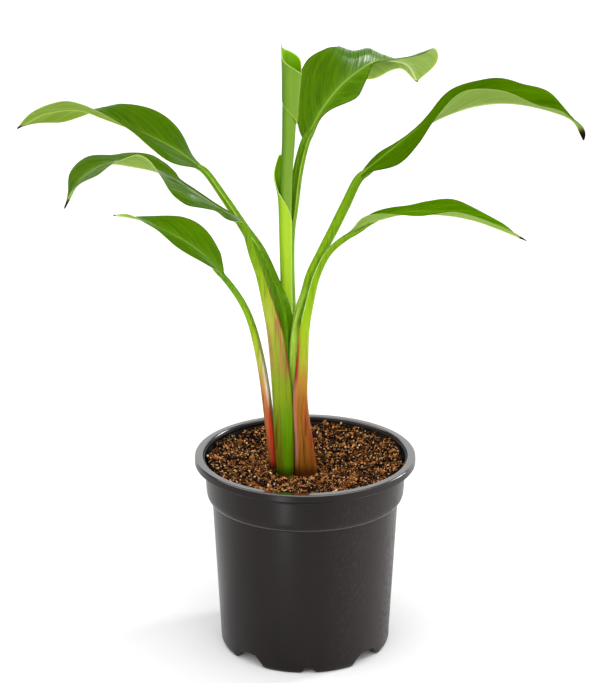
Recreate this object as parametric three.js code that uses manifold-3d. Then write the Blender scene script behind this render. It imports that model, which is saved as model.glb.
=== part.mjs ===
// A young golden lotus banana in a round nursery pot. Seven leaf stalks rise from the soil in one bundle:
// six carry an open blade, and the innermost carries the youngest leaf, which is still rolled up.
// Millimetres, +Z up, front towards -Y. The origin is the centre of the pot's underside.
import * as THREE from "three";
import { mergeVertices } from "three/addons/utils/BufferGeometryUtils.js";
import Module from "manifold-3d";

const wasm = await Module();
wasm.setup();

// Gap that pieces in contact keep.
const GAP = 0.35;

// Pot: a thin plastic shell with a turned-down rim, a wider collar and a foot ring broken by arches.
const RIM_RADIUS = 65;
const RIM_TOP = 119;
const RIM_WIDTH = 4.6;
const RIM_ROUNDING = 1;
const LIP_HEIGHT = 4.5;
const COLLAR_RADIUS = 59.1;
const COLLAR_FOOT_RADIUS = 58.3;
const COLLAR_FOOT = 96.5;
const WALL_TOP_RADIUS = 55;
const WALL_TOP = 92.5;
const SHOULDER_ROUNDING = 0.7;
const WALL_FOOT_RADIUS = 50.5;
const WALL_FOOT = 2.8;
const WALL = 1.3;
const BEAD_HEIGHT = 112;
const BEAD = 0.8;
const FOOT_RADIUS = 49.2;
const FOOT_ROUNDING = 1;
const FOOT_RING = 4;
const FLOOR_RISE = 7;
const PAD_RADIUS = 22;
const FLOOR_SLOPE = 1.5;
const POT_SIDES = 44;

// Cuts in the foot: four drain arches, four small notches between them and four drain holes.
const FOOT_TURN = 2.5;
const ARCH = { foot: 23, top: 11, height: 6.6 };
const NOTCH = { foot: 9, top: 4.5, height: 2.2 };
const CUT_INSET = 3;
const DRAIN_RADIUS = 4;
const DRAIN_AT = 33;
const DRAIN_SIDES = 16;

// Soil: slightly dished, flat where the stalks stand in it.
const SOIL_TOP = 110;
const SOIL_RIM_RISE = 5;
const SOIL_FLAT_RADIUS = 26;

// Blades are lofted over rows of stations; the columns of a half lie at these shares of its width.
const BLADE_ROWS = 28;
const HALF_COLUMNS = [0, 0.12, 0.36, 0.66, 1];
const BLADE_THINNESS = 90;
const BLADE_END = 0.997;
const BLADE_BASE_HALF = 1.8;
const BLADE_TIP_HALF = 0.5;
const BLADE_BOW = -16;
const CURL_START = 0.1;
const CURL_END = 0.6;
const KEEL = 1.2;

// Stalks are lofted too, rounded outside and flattened on the side that faces the bundle.
const STALK_RINGS = 18;
const STALK_SIDES = 12;
const CHANNEL_SHARE = 0.4;
const FOOT_HEIGHT = SOIL_TOP + GAP;
const STALK_END_DEPTH = 1.7;
const STALK_END_BREADTH = 2.4;
const STALK_END_DROP = 0.6;

// Each leaf stands in an upright plane through `from`, with its heading in degrees from +X towards +Y.
// Stalk rows: x, y, z, half depth towards the bundle, half breadth. Rib rows: reach from `from`, height.
// Tilt rows: share of the blade's length, upward tilt in degrees of its left and right half.
// Share rows: share of the length, share of the full half width on the left and right.
// Curl rows: share of the length, bend in degrees across the left and right half.
const BUNDLE = [-6, -2];
const NO_CURL = [
  [0, 0, 0],
  [1, 0, 0],
];

const SPEAR = {
  heading: 180,
  stalk: [
    [-9.6, 7, FOOT_HEIGHT, 2.9, 2.9],
    [-10, 7, 160, 3, 3],
    [-10.6, 7, 205, 3.3, 3.1],
    [-11.2, 7, 240, 3.5, 3.2],
    [-11.3, 7, 268, 3.6, 3.3],
  ],
  roll: [
    [-11.3, 7, 268 + GAP, 3.6, 3.3],
    [-11.7, 7, 279, 4.5, 3.7],
    [-11.4, 7, 287, 4.7, 4],
    [-9.7, 7, 298, 3.9, 3.9],
    [-8.9, 7, 316, 4.5, 4.2],
    [-7.8, 7, 340, 5.6, 4.4],
    [-7.7, 7, 352.5, 5.8, 3.8],
    [-10.4, 7, 357, 3.2, 2.2],
    [-13.2, 7, 362.4, 0.5, 0.5],
  ],
};

const LEAVES = [
  {
    name: "top",
    heading: 55,
    from: [-6, 3],
    stalk: [
      [-3, 9, FOOT_HEIGHT, 2.9, 3],
      [-4, 10.4, 160, 2.7, 2.9],
      [-7.8, 13, 210, 2.4, 2.6],
      [-8.2, 13, 248, 2.4, 2.6],
      [-5.9, 12.6, 268, 2.5, 2.7],
      [-3.5, 12.2, 288, 2.7, 2.9],
    ],
    rib: [
      [11, 305],
      [24.5, 318],
      [44.5, 329.5],
      [64, 335.5],
      [83, 338],
      [105, 334.5],
      [119.5, 328.5],
      [129, 317.5],
    ],
    halfWidth: 24,
    rise: 0.55,
    fall: 0.4,
    tilt: [
      [0, -20, -10],
      [0.12, 4, -32],
      [0.24, 32, -48],
      [0.36, 62, -53],
      [0.47, 78, -42],
      [0.57, 66, -18],
      [0.68, 40, 8],
      [0.78, 24, 20],
      [0.86, 16, 33],
      [1, 2, 12],
    ],
    share: [
      [0, 0.93, 0.5],
      [0.06, 0.97, 0.24],
      [0.14, 0.98, 0.19],
      [0.28, 1.2, 0.47],
      [0.36, 1.02, 0.53],
      [0.45, 0.82, 0.34],
      [0.57, 1.1, 0.07],
      [0.63, 1.25, 0.12],
      [0.74, 0.66, 0.5],
      [0.82, 0.38, 0.98],
      [0.91, 0.27, 1.05],
      [1, 0.2, 0.1],
    ],
    curl: [
      [0, 15, 0],
      [0.2, 12, 0],
      [0.37, 0, 0],
      [0.5, -60, 0],
      [0.63, -145, 0],
      [0.78, -132, 0],
      [1, -10, 0],
    ],
  },
  {
    name: "upper_left",
    heading: 155,
    from: BUNDLE,
    stalk: [
      [-10.3, 0.3, FOOT_HEIGHT, 4.6, 3],
      [-12.2, -1.6, 158, 4.4, 4.2],
      [-12.4, -2.6, 186, 4.6, 4.8],
      [-13.5, 0, 206, 5.1, 4.6],
      [-19.2, 5, 223, 4, 3.9],
      [-27, 11, 240, 3.6, 3.1],
      [-35.1, 14.6, 252, 2.6, 2.8],
      [-47.6, 19, 270.5, 2, 2.5],
    ],
    rib: [
      [57, 285],
      [74, 294.5],
      [100, 303.5],
      [122, 309],
      [139, 312.3],
      [163, 307.5],
      [182.5, 296.5],
    ],
    halfWidth: 19,
    rise: 0.75,
    fall: 0.8,
    tilt: [
      [0, 5, -15],
      [0.1, -18, -13],
      [0.22, 0, 14],
      [0.34, 17, 31],
      [0.5, 28, 28],
      [0.62, 28, -9],
      [0.72, 22, -27],
      [0.85, 16, -36],
      [1, 5, -4],
    ],
    share: [
      [0, 1.2, 0.95],
      [0.2, 1.05, 1.18],
      [0.34, 0.87, 1.04],
      [0.53, 1.02, 0.76],
      [0.68, 1.12, 1],
      [0.85, 1.04, 1.16],
      [1, 1, 1.22],
    ],
  },
  {
    name: "upper_right",
    heading: 12,
    from: BUNDLE,
    stalk: [
      [-0.3, 0.3, FOOT_HEIGHT, 4.6, 3],
      [-4.8, -1.8, 158, 5, 4.6],
      [-6, -2.6, 182, 4.6, 5.2],
      [-4.7, -0.6, 201, 3.4, 4.4],
      [-0.3, 2.2, 215, 2.8, 3.4],
      [3.2, 4, 227.5, 2.7, 3],
      [8.2, 4.8, 238.5, 2.5, 2.9],
      [15.8, 5.5, 253.5, 2.8, 2.8],
      [22.7, 5.8, 268, 2.8, 2.7],
    ],
    rib: [
      [37, 285],
      [53, 298],
      [76, 314],
      [102, 323],
      [125, 324],
      [150, 318],
      [163.5, 311.5],
      [170.5, 299.5],
    ],
    halfWidth: 19,
    rise: 0.6,
    fall: 0.8,
    tilt: [
      [0, -4, 18],
      [0.12, -7, -14],
      [0.24, -19, -3],
      [0.36, -6, 25],
      [0.48, 22, 49],
      [0.6, 30, 44],
      [0.72, 24, 16],
      [0.82, 31, 16],
      [0.9, 13, 4],
      [1, 8, 40],
    ],
    share: [
      [0, 1, 0.95],
      [0.1, 1.1, 1.18],
      [0.22, 0.94, 1.11],
      [0.4, 1.12, 1.05],
      [0.55, 1.08, 0.77],
      [0.7, 1.4, 0.72],
      [0.85, 1.38, 1.08],
      [1, 0.95, 1.35],
    ],
  },
  {
    name: "middle_left",
    heading: 195,
    from: BUNDLE,
    stalk: [
      [-11.7, -7.2, FOOT_HEIGHT, 4.9, 4.3],
      [-12.4, -7.4, 130, 5.7, 4.3],
      [-13.3, -7.8, 155, 5.8, 4.3],
      [-14.9, -8.3, 177.5, 5.5, 4.2],
      [-17.5, -8.8, 198, 4.7, 4],
      [-21.9, -9.3, 216.5, 3.3, 3.5],
      [-25.9, -9.7, 232, 2.4, 3],
      [-29.7, -9.9, 243, 2.1, 2.7],
    ],
    rib: [
      [30.5, 263.5],
      [43.5, 272],
      [60, 284],
      [77, 295.3],
      [93, 300],
      [106, 302],
      [121, 294.5],
      [131.5, 278],
    ],
    halfWidth: 18,
    rise: 0.5,
    fall: 0.75,
    tilt: [
      [0, 10, 5],
      [0.1, 0, 36],
      [0.2, 0, 40],
      [0.3, 2, 40],
      [0.42, 4, 38],
      [0.5, 14, 28],
      [0.6, 34, 15],
      [0.68, 16, 5],
      [0.78, -2, 20],
      [0.88, 12, 24],
      [1, 35, 15],
    ],
    share: [
      [0, 1.25, 0.6],
      [0.05, 1.1, 0.25],
      [0.1, 0.76, 0.12],
      [0.14, 0.42, 0.12],
      [0.2, 0.57, 0.12],
      [0.3, 0.93, 0.13],
      [0.36, 0.94, 0.15],
      [0.385, 0.92, 0.27],
      [0.42, 0.88, 0.38],
      [0.46, 0.92, 0.52],
      [0.5, 1, 0.7],
      [0.6, 1, 0.9],
      [0.68, 1, 0.94],
      [0.78, 1, 1.13],
      [0.86, 1, 1.2],
      [0.89, 1, 1.05],
      [0.92, 1, 0.75],
      [0.96, 0.9, 0.5],
      [1, 0.8, 0.5],
    ],
    curl: [
      [0, 0, 0],
      [0.1, -24, 0],
      [0.2, -40, 0],
      [0.3, -46, 0],
      [0.4, -40, 0],
      [0.48, -18, 0],
      [0.56, 0, 0],
      [1, 0, 0],
    ],
  },
  {
    name: "lower_right",
    heading: -8,
    from: BUNDLE,
    stalk: [
      [0.7, -7, FOOT_HEIGHT, 7.2, 4.2],
      [-0.9, -7.2, 130, 5.4, 4.2],
      [-2.9, -7.3, 155, 4.4, 4.1],
      [-1.9, -7.2, 177, 3.7, 4],
      [-0.5, -7, 198, 3, 3.7],
      [2.9, -6.8, 216, 2.4, 3.3],
      [6.8, -6.6, 231, 2.1, 3],
      [13.6, -6.4, 244.6, 2, 2.7],
    ],
    rib: [
      [30, 254.2],
      [44, 263],
      [60, 268.3],
      [82, 269],
      [100, 266.6],
      [117, 261],
      [131.5, 255.2],
    ],
    halfWidth: 15.3,
    rise: 0.65,
    fall: 0.95,
    tilt: [
      [0, 25, 60],
      [0.12, 14, 40],
      [0.32, 1, 13],
      [0.44, 9, 9],
      [0.6, 23, 24],
      [0.78, 18, 27],
      [0.9, 8, 33],
      [1, -35, 34],
    ],
    share: [
      [0, 0.4, 0.4],
      [0.05, 0.45, 0.42],
      [0.1, 0.75, 0.68],
      [0.17, 0.96, 0.92],
      [0.35, 0.97, 1.04],
      [0.55, 1.05, 1.04],
      [0.73, 0.86, 1.01],
      [0.9, 1.12, 1],
      [1, 1.22, 1],
    ],
  },
  {
    name: "lower_left",
    heading: 165,
    from: BUNDLE,
    stalk: [
      [-18.2, 0.4, FOOT_HEIGHT, 2.5, 2.8],
      [-21.3, 1.2, 140.5, 2.8, 2.7],
      [-25.7, 2.6, 174, 2.5, 2.5],
      [-31.8, 4.4, 199.5, 2, 2.3],
      [-37.7, 6.2, 212, 1.8, 2.2],
    ],
    rib: [
      [42.5, 225.5],
      [52, 235],
      [64, 243.5],
      [78, 250],
      [92, 255.5],
      [109, 257],
    ],
    halfWidth: 14,
    rise: 0.6,
    fall: 1.2,
    tilt: [
      [0, 20, 38],
      [0.15, 9, 27],
      [0.4, 1, 38],
      [0.6, 13, 32],
      [0.75, 16, 8],
      [0.87, 40, -15],
      [1, 75, -60],
    ],
    share: [
      [0, 0.6, 0.45],
      [0.06, 0.78, 0.58],
      [0.15, 1, 0.86],
      [0.5, 1.03, 1.1],
      [0.78, 1.04, 0.94],
      [1, 1.15, 1.1],
    ],
  },
];

const looks = {
  pot: { color: 0x2b2a2a, roughness: 0.42, metalness: 0 },
  soil: { color: 0x6a3f20, roughness: 0.95, metalness: 0 },
  stalk: { color: 0x93b92c, roughness: 0.5, metalness: 0 },
  blade: { color: 0x3f7d14, roughness: 0.4, metalness: 0 },
  youngest: { color: 0x86b83a, roughness: 0.45, metalness: 0 },
};

const part = new THREE.Group();

function addPiece(name, geometry, look) {
  const mesh = new THREE.Mesh(geometry, new THREE.MeshStandardMaterial(looks[look]));
  mesh.name = name;
  part.add(mesh);
}

function solidFrom(geometry) {
  const bare = geometry.clone();
  bare.deleteAttribute("normal");
  bare.deleteAttribute("uv");
  const merged = mergeVertices(bare, 1e-4);
  const vertProperties = merged.attributes.position.array;
  const triVerts = new Uint32Array(merged.index.array);
  return new wasm.Manifold(new wasm.Mesh({ numProp: 3, vertProperties, triVerts }));
}

function geometryFrom(solid) {
  const mesh = solid.getMesh();
  const geometry = new THREE.BufferGeometry();
  geometry.setAttribute("position", new THREE.BufferAttribute(mesh.vertProperties, 3));
  geometry.setIndex(new THREE.BufferAttribute(mesh.triVerts, 1));
  return geometry;
}

// A smooth value from hand-set rows of [place, value, value]: a cubic with the rows' own mean slopes.
function smoothRow(rows, place, column) {
  const last = rows.length - 1;
  const found = rows.findIndex((row) => row[0] > place);
  const i = found < 0 ? last - 1 : Math.max(found - 1, 0);
  const slope = (k) => {
    const before = rows[Math.max(k - 1, 0)];
    const after = rows[Math.min(k + 1, last)];
    return (after[column] - before[column]) / (after[0] - before[0]);
  };
  const span = rows[i + 1][0] - rows[i][0];
  const t = (place - rows[i][0]) / span;
  const rest = 1 - t;
  const start = rows[i][column] * (1 + 2 * t) * rest * rest;
  const end = rows[i + 1][column] * (3 - 2 * t) * t * t;
  const bend = (slope(i) * rest - slope(i + 1) * t) * t * rest * span;
  return start + end + bend;
}

// A closed solid through rings of equally many points, each ring's first half facing its second half.
function loft(rings) {
  const around = rings[0].length;
  const index = [];
  const quad = (a, b, c, d) => index.push(a, b, c, a, c, d);
  for (let i = 0; i + 1 < rings.length; i++) {
    for (let k = 0; k < around; k++) {
      const next = (k + 1) % around;
      const low = i * around;
      quad(low + k, low + next, low + around + next, low + around + k);
    }
  }
  const top = (rings.length - 1) * around;
  for (let k = 0; k + 1 < around / 2; k++) {
    const across = around - 1 - k;
    quad(across, across - 1, k + 1, k);
    quad(top + k, top + k + 1, top + across - 1, top + across);
  }
  const geometry = new THREE.BufferGeometry().setFromPoints(rings.flat());
  geometry.setIndex(index);
  return geometry;
}

// The frame of a leaf at a place where it runs along `tangent`: its right side, and up off its upper face.
function leafFrame(heading, tangent) {
  const turn = THREE.MathUtils.degToRad(heading);
  const right = new THREE.Vector3(Math.sin(turn), -Math.cos(turn), 0);
  right.addScaledVector(tangent, -right.dot(tangent)).normalize();
  const up = new THREE.Vector3().crossVectors(right, tangent);
  return { right, up };
}

function ribCurve(leaf) {
  const turn = THREE.MathUtils.degToRad(leaf.heading);
  const points = leaf.rib.map(([reach, height]) => {
    const x = leaf.from[0] + reach * Math.cos(turn);
    const y = leaf.from[1] + reach * Math.sin(turn);
    return new THREE.Vector3(x, y, height);
  });
  return new THREE.CatmullRomCurve3(points);
}

// A stalk through its rows, cut level at the foot and square to `endTangent` at the top.
function stalkLoft(heading, rows, endTangent, grown) {
  const curve = new THREE.CatmullRomCurve3(rows.map((row) => new THREE.Vector3(...row)));
  const sizes = rows.map((row, i) => [i, row[3], row[4]]);
  const rings = [];
  for (let i = 0; i <= STALK_RINGS; i++) {
    const share = i / STALK_RINGS;
    const centre = curve.getPoint(share);
    const level = new THREE.Vector3(0, 0, 1);
    const inner = i === STALK_RINGS ? endTangent : curve.getTangent(share);
    const frame = leafFrame(heading, i === 0 ? level : inner);
    const place = share * (rows.length - 1);
    const depth = smoothRow(sizes, place, 1) + grown;
    const breadth = smoothRow(sizes, place, 2) + grown;
    rings.push(stalkRing(centre, frame, depth, breadth));
  }
  return loft(rings);
}

function stalkRing(centre, frame, depth, breadth) {
  const outer = (2 * depth) / (1 + CHANNEL_SHARE);
  return Array.from({ length: STALK_SIDES }, (_, k) => {
    const angle = ((k + 0.5) / STALK_SIDES) * 2 * Math.PI;
    const swell = Math.sin(angle) * outer;
    const flattened = swell > 0 ? swell * CHANNEL_SHARE : swell;
    const point = centre.clone();
    point.addScaledVector(frame.right, -Math.cos(angle) * breadth);
    return point.addScaledVector(frame.up, flattened + outer - depth);
  });
}

// Half width at a share of the length: a rounded base, widest at rise / (rise + fall), a drawn-out tip.
function halfWidth(leaf, along) {
  const widest = leaf.rise / (leaf.rise + leaf.fall);
  const swell = (along / widest) ** leaf.rise;
  const taper = ((1 - along) / (1 - widest)) ** leaf.fall;
  return leaf.halfWidth * swell * taper;
}

// The points across a blade from its left margin over the rib to its right margin.
function bladeRow(leaf, curve, along) {
  const rib = curve.getPointAt(along);
  const frame = leafFrame(leaf.heading, curve.getTangentAt(along));
  const least = THREE.MathUtils.lerp(BLADE_BASE_HALF, BLADE_TIP_HALF, along);
  const half = (column, side) => {
    const share = smoothRow(leaf.share, along, column);
    const width = Math.max(halfWidth(leaf, along) * share, least);
    const tilt = smoothRow(leaf.tilt, along, column);
    const curl = smoothRow(leaf.curl ?? NO_CURL, along, column);
    const point = rib.clone();
    return HALF_COLUMNS.slice(1).map((reach, j) => {
      const middle = (reach + HALF_COLUMNS[j]) / 2;
      const curled = curl * THREE.MathUtils.smoothstep(middle, CURL_START, CURL_END);
      const angle = THREE.MathUtils.degToRad(tilt + BLADE_BOW * (middle - 0.5) + curled);
      const step = (reach - HALF_COLUMNS[j]) * width;
      point.addScaledVector(frame.right, side * Math.cos(angle) * step);
      point.addScaledVector(frame.up, Math.sin(angle) * step);
      return point.clone();
    });
  };
  return [...half(1, -1).reverse(), rib, ...half(2, 1)];
}

// A blade of even thickness round its middle surface, with the midrib's keel along its underside.
function bladeLoft(leaf) {
  const curve = ribCurve(leaf);
  const length = curve.getLength();
  const thickness = length / BLADE_THINNESS;
  const places = Array.from({ length: BLADE_ROWS + 1 }, (_, i) => {
    return THREE.MathUtils.lerp(GAP / length, BLADE_END, i / BLADE_ROWS);
  });
  const rows = places.map((along) => bladeRow(leaf, curve, along));
  const ribColumn = HALF_COLUMNS.length - 1;
  const rings = rows.map((row, i) => {
    const before = rows[Math.max(i - 1, 0)];
    const after = rows[Math.min(i + 1, BLADE_ROWS)];
    const lower = [];
    const upper = [];
    row.forEach((point, k) => {
      const across = new THREE.Vector3().subVectors(
        row[Math.min(k + 1, row.length - 1)],
        row[Math.max(k - 1, 0)],
      );
      const forward = new THREE.Vector3().subVectors(after[k], before[k]);
      const normal = across.cross(forward).normalize();
      const keel = k === ribColumn ? KEEL * (1 - places[i]) : 0;
      upper.push(point.clone().addScaledVector(normal, thickness / 2));
      lower.unshift(point.clone().addScaledVector(normal, -thickness / 2 - keel));
    });
    return [...upper, ...lower];
  });
  return loft(rings);
}

// A prism with sloping sides, cut through the foot ring at an angle round the pot.
function footCut({ foot, top, height }, degrees) {
  const below = WALL;
  const outline = new THREE.Shape([
    new THREE.Vector2(-foot / 2, -below),
    new THREE.Vector2(foot / 2, -below),
    new THREE.Vector2(foot / 2, 0),
    new THREE.Vector2(top / 2, height),
    new THREE.Vector2(-top / 2, height),
    new THREE.Vector2(-foot / 2, 0),
  ]);
  const start = FOOT_RADIUS - FOOT_RING - CUT_INSET;
  const depth = RIM_RADIUS - start;
  const prism = new THREE.ExtrudeGeometry(outline, { depth, bevelEnabled: false });
  const turn = THREE.MathUtils.degToRad(degrees);
  const outward = new THREE.Vector3(Math.cos(turn), Math.sin(turn), 0);
  const upward = new THREE.Vector3(0, 0, 1);
  const along = new THREE.Vector3().crossVectors(upward, outward);
  const place = new THREE.Matrix4().makeBasis(along, upward, outward);
  place.setPosition(outward.multiplyScalar(start));
  return prism.applyMatrix4(place);
}

function drainHole(degrees) {
  const turn = THREE.MathUtils.degToRad(degrees);
  const hole = new THREE.CylinderGeometry(DRAIN_RADIUS, DRAIN_RADIUS, 4 * WALL, DRAIN_SIDES);
  hole.rotateX(Math.PI / 2);
  return hole.translate(DRAIN_AT * Math.cos(turn), DRAIN_AT * Math.sin(turn), FLOOR_RISE + WALL / 2);
}

// A solid of revolution about +Z from an outline of [radius, height].
function turned(outline) {
  const points = outline.map(([radius, height]) => new THREE.Vector2(radius, height));
  return new THREE.LatheGeometry(points, POT_SIDES).rotateX(Math.PI / 2);
}

function potOutline() {
  const ringInner = FOOT_RADIUS - FOOT_RING;
  const lipBottom = RIM_TOP - LIP_HEIGHT;
  return [
    [0, 0],
    [PAD_RADIUS, 0],
    [PAD_RADIUS + FLOOR_SLOPE, FLOOR_RISE],
    [ringInner - FLOOR_SLOPE, FLOOR_RISE],
    [ringInner, 0],
    [FOOT_RADIUS, 0],
    [FOOT_RADIUS + FOOT_ROUNDING, FOOT_ROUNDING],
    [WALL_FOOT_RADIUS, WALL_FOOT],
    [WALL_TOP_RADIUS, WALL_TOP],
    [COLLAR_FOOT_RADIUS - SHOULDER_ROUNDING, (WALL_TOP + COLLAR_FOOT) / 2 - SHOULDER_ROUNDING],
    [COLLAR_FOOT_RADIUS, COLLAR_FOOT],
    [COLLAR_RADIUS, BEAD_HEIGHT - BEAD],
    [COLLAR_RADIUS + BEAD, BEAD_HEIGHT],
    [COLLAR_RADIUS, BEAD_HEIGHT + BEAD],
    [COLLAR_RADIUS, RIM_TOP - WALL],
    [RIM_RADIUS - WALL, RIM_TOP - WALL],
    [RIM_RADIUS - WALL, lipBottom],
    [RIM_RADIUS, lipBottom],
    [RIM_RADIUS, RIM_TOP - RIM_ROUNDING],
    [RIM_RADIUS - RIM_ROUNDING, RIM_TOP],
    [RIM_RADIUS - RIM_WIDTH + RIM_ROUNDING, RIM_TOP],
    [RIM_RADIUS - RIM_WIDTH, RIM_TOP - RIM_ROUNDING],
    ...innerOutline(0),
  ];
}

// The inside of the pot from its collar down to the middle of its floor, drawn in by `gap`.
function innerOutline(gap) {
  const floor = FLOOR_RISE + WALL + gap;
  return [
    [COLLAR_RADIUS - WALL - gap, BEAD_HEIGHT + BEAD],
    [COLLAR_FOOT_RADIUS - WALL - gap, COLLAR_FOOT],
    [WALL_TOP_RADIUS - WALL - gap, WALL_TOP - gap],
    [WALL_FOOT_RADIUS - WALL - gap, floor],
    [PAD_RADIUS + FLOOR_SLOPE - WALL - gap, floor],
    [PAD_RADIUS - WALL - gap, WALL + gap],
    [0, WALL + gap],
  ];
}

function addPot() {
  let shell = solidFrom(turned(potOutline()));
  for (let quarter = 0; quarter < 4; quarter++) {
    const notchAt = FOOT_TURN + 90 * quarter;
    const archAt = notchAt + 45;
    shell = shell.subtract(solidFrom(footCut(ARCH, archAt)));
    shell = shell.subtract(solidFrom(footCut(NOTCH, notchAt)));
    shell = shell.subtract(solidFrom(drainHole(archAt)));
  }
  addPiece("pot", geometryFrom(shell), "pot");
}

function addSoil() {
  const wall = innerOutline(GAP);
  const edge = [wall[0][0], SOIL_TOP + SOIL_RIM_RISE];
  const top = [
    [SOIL_FLAT_RADIUS, SOIL_TOP],
    [0, SOIL_TOP],
  ];
  const outline = [...wall.slice(1).reverse(), edge, ...top];
  addPiece("soil", turned(outline), "soil");
}

// The stalks from the innermost outwards, each hollowed where an inner one presses into it.
function addPlant() {
  const up = new THREE.Vector3(0, 0, 1);
  const inner = [solidFrom(stalkLoft(SPEAR.heading, SPEAR.stalk, up, GAP))];
  addPiece("stalk_spear", stalkLoft(SPEAR.heading, SPEAR.stalk, up, 0), "youngest");
  addPiece("blade_spear", stalkLoft(SPEAR.heading, SPEAR.roll, up, 0), "youngest");
  for (const leaf of LEAVES) {
    const curve = ribCurve(leaf);
    const base = curve.getPointAt(0);
    const heading = curve.getTangentAt(0);
    base.addScaledVector(leafFrame(leaf.heading, heading).up, -STALK_END_DROP);
    const rows = [...leaf.stalk, [...base, STALK_END_DEPTH, STALK_END_BREADTH]];
    const whole = solidFrom(stalkLoft(leaf.heading, rows, heading, 0));
    const stalk = inner.reduce((rest, body) => rest.subtract(body), whole);
    inner.push(solidFrom(stalkLoft(leaf.heading, rows, heading, GAP)));
    addPiece("stalk_" + leaf.name, geometryFrom(stalk), "stalk");
    addPiece("blade_" + leaf.name, bladeLoft(leaf), "blade");
  }
}

addPot();
addSoil();
addPlant();

export default part;
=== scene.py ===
import math

import bpy
import numpy as np
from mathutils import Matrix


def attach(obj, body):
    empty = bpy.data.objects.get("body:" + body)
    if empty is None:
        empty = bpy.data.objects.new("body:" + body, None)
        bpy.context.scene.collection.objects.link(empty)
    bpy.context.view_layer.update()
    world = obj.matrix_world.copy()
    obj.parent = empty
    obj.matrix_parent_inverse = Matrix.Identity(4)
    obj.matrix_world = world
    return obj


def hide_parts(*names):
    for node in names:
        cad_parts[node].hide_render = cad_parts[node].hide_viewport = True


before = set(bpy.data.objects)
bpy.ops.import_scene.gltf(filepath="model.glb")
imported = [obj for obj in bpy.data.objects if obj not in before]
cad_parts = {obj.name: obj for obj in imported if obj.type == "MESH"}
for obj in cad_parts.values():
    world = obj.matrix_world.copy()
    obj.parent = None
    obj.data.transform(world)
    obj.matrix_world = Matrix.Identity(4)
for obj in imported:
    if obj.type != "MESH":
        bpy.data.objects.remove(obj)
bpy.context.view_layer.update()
MM = 0.001


# Pot: a satin black nursery pot, moulded in one thin piece of plastic. The wall steps out into a collar under
# a turned-down rim, and the foot ring is broken by arches and small notches that let water drain away.
POT_SIDES = 240
POT_FOOT_BAND = 9.0
POT_ARCH = {"Arch foot": 23.0, "Arch top": 11.0, "Arch height": 6.6, "Foot radius": 50.0}
POT_NOTCH = {"Notch foot": 9.0, "Notch top": 4.5, "Notch height": 2.2}
POT_TURN = math.radians(2.5)
POT_WELD = 0.01 * MM
# A rounding takes at most this share of a side, and its support point stands this share of it further on.
ROUNDING_MOST = 0.45
ROUNDING_SUPPORT = 0.3
# Corners of the wall from the middle of the underside over the rim to the middle of the floor inside:
# radius, height, rounding, and whether the arches lift the corner.
POT_CORNERS = [
    (0, 0, 0, 0), (22, 0, 0.6, 0), (23.5, 7, 0.6, 0), (43.7, 7, 0.5, 0), (45.2, 0, 0.5, 1),
    (49.2, 0, 0.9, 1), (50.5, 2.6, 1.2, 1), (50.7, POT_FOOT_BAND, 0, 1), (55, 92.5, 0.6, 0),
    (57.5, 93.6, 0.9, 0), (58.3, 96.5, 1.6, 0), (59.1, 111.2, 0.3, 0), (59.8, 111.9, 0.35, 0),
    (59.1, 112.7, 0.3, 0), (59.1, 117.7, 0.4, 0), (63.8, 117.7, 0.3, 0), (63.8, 114.5, 0.25, 0),
    (65, 114.5, 0.4, 0), (65, 119, 1.0, 0), (60.4, 119, 0.7, 0), (57.8, 113, 1.0, 0),
    (57, 96.5, 0.5, 0), (53.7, 92.2, 0.5, 0), (49.3, 8.3, 1.0, 0), (22.2, 8.3, 0.5, 0),
    (20.7, 1.3, 0.5, 0), (0, 1.3, 0, 0),
]
# Plastic: scales of its clouds, scuffs and grain. It is lighter and scuffed on the right, more and more from
# one x to the other; the lighter side is partly rubbed wear and partly a painted reflection. The top of the
# rim and the lower edge of the collar shine: heights, how much.
POT_CLOUDS = 26.0
POT_SCUFFS = 520.0
POT_GRAIN = 900.0
POT_GRAIN_DEPTH = 0.02 * MM
POT_WEAR_AND_SHEEN = (6, 36)
POT_SCUFFED = (8, 30)
RIM_SHINE = (118.1, 118.9)
COLLAR_SHINE = [(92.7, 93.1, 0.0, 0.5), (94.8, 93.8)]


def add_node(tree, kind, wires=None, **settings):
    """Adds a node. wires maps an input's name or number to a value or to another node's output."""
    node = tree.nodes.new(kind)
    for key, value in settings.items():
        setattr(node, key, value)
    for key, value in (wires or {}).items():
        named = [s for s in node.inputs if s.name == key and s.enabled]
        socket = named[0] if named else node.inputs[key]
        if isinstance(value, bpy.types.NodeSocket):
            tree.links.new(value, socket)
        else:
            socket.default_value = value
    return node


def first(tree, kind, wires=None, **settings):
    """Adds a node and gives its first output."""
    return add_node(tree, kind, wires, **settings).outputs[0]


def maths(tree, operation, *values):
    return first(tree, "ShaderNodeMath", dict(enumerate(values)), operation=operation)


def times(tree, *values):
    """The product of two or more values."""
    product = values[0]
    for value in values[1:]:
        product = maths(tree, "MULTIPLY", product, value)
    return product


def vector_maths(tree, operation, *values, **named):
    return first(tree, "ShaderNodeVectorMath", {**dict(enumerate(values)), **named}, operation=operation)


def vector(tree, **parts):
    return first(tree, "ShaderNodeCombineXYZ", parts)


def xyz(tree, place):
    """The three parts of a vector, by number or by letter."""
    return add_node(tree, "ShaderNodeSeparateXYZ", {0: place}).outputs


def between(tree, value, low, high, to_low=0.0, to_high=1.0, shape="SMOOTHSTEP"):
    """A value taken from one range to another with soft ends, and held there."""
    wires = {"Value": value, "From Min": low, "From Max": high, "To Min": to_low, "To Max": to_high}
    return first(tree, "ShaderNodeMapRange", wires, interpolation_type=shape)


def evenly(tree, value, low, high, to_low=0.0, to_high=1.0):
    """As between, in a straight line."""
    return between(tree, value, low, high, to_low, to_high, "LINEAR")


def over_mm(tree, value, low, high, to_low=0.0, to_high=1.0):
    """As between, with the first range in millimetres."""
    return between(tree, value, low * MM, high * MM, to_low, to_high)


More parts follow.
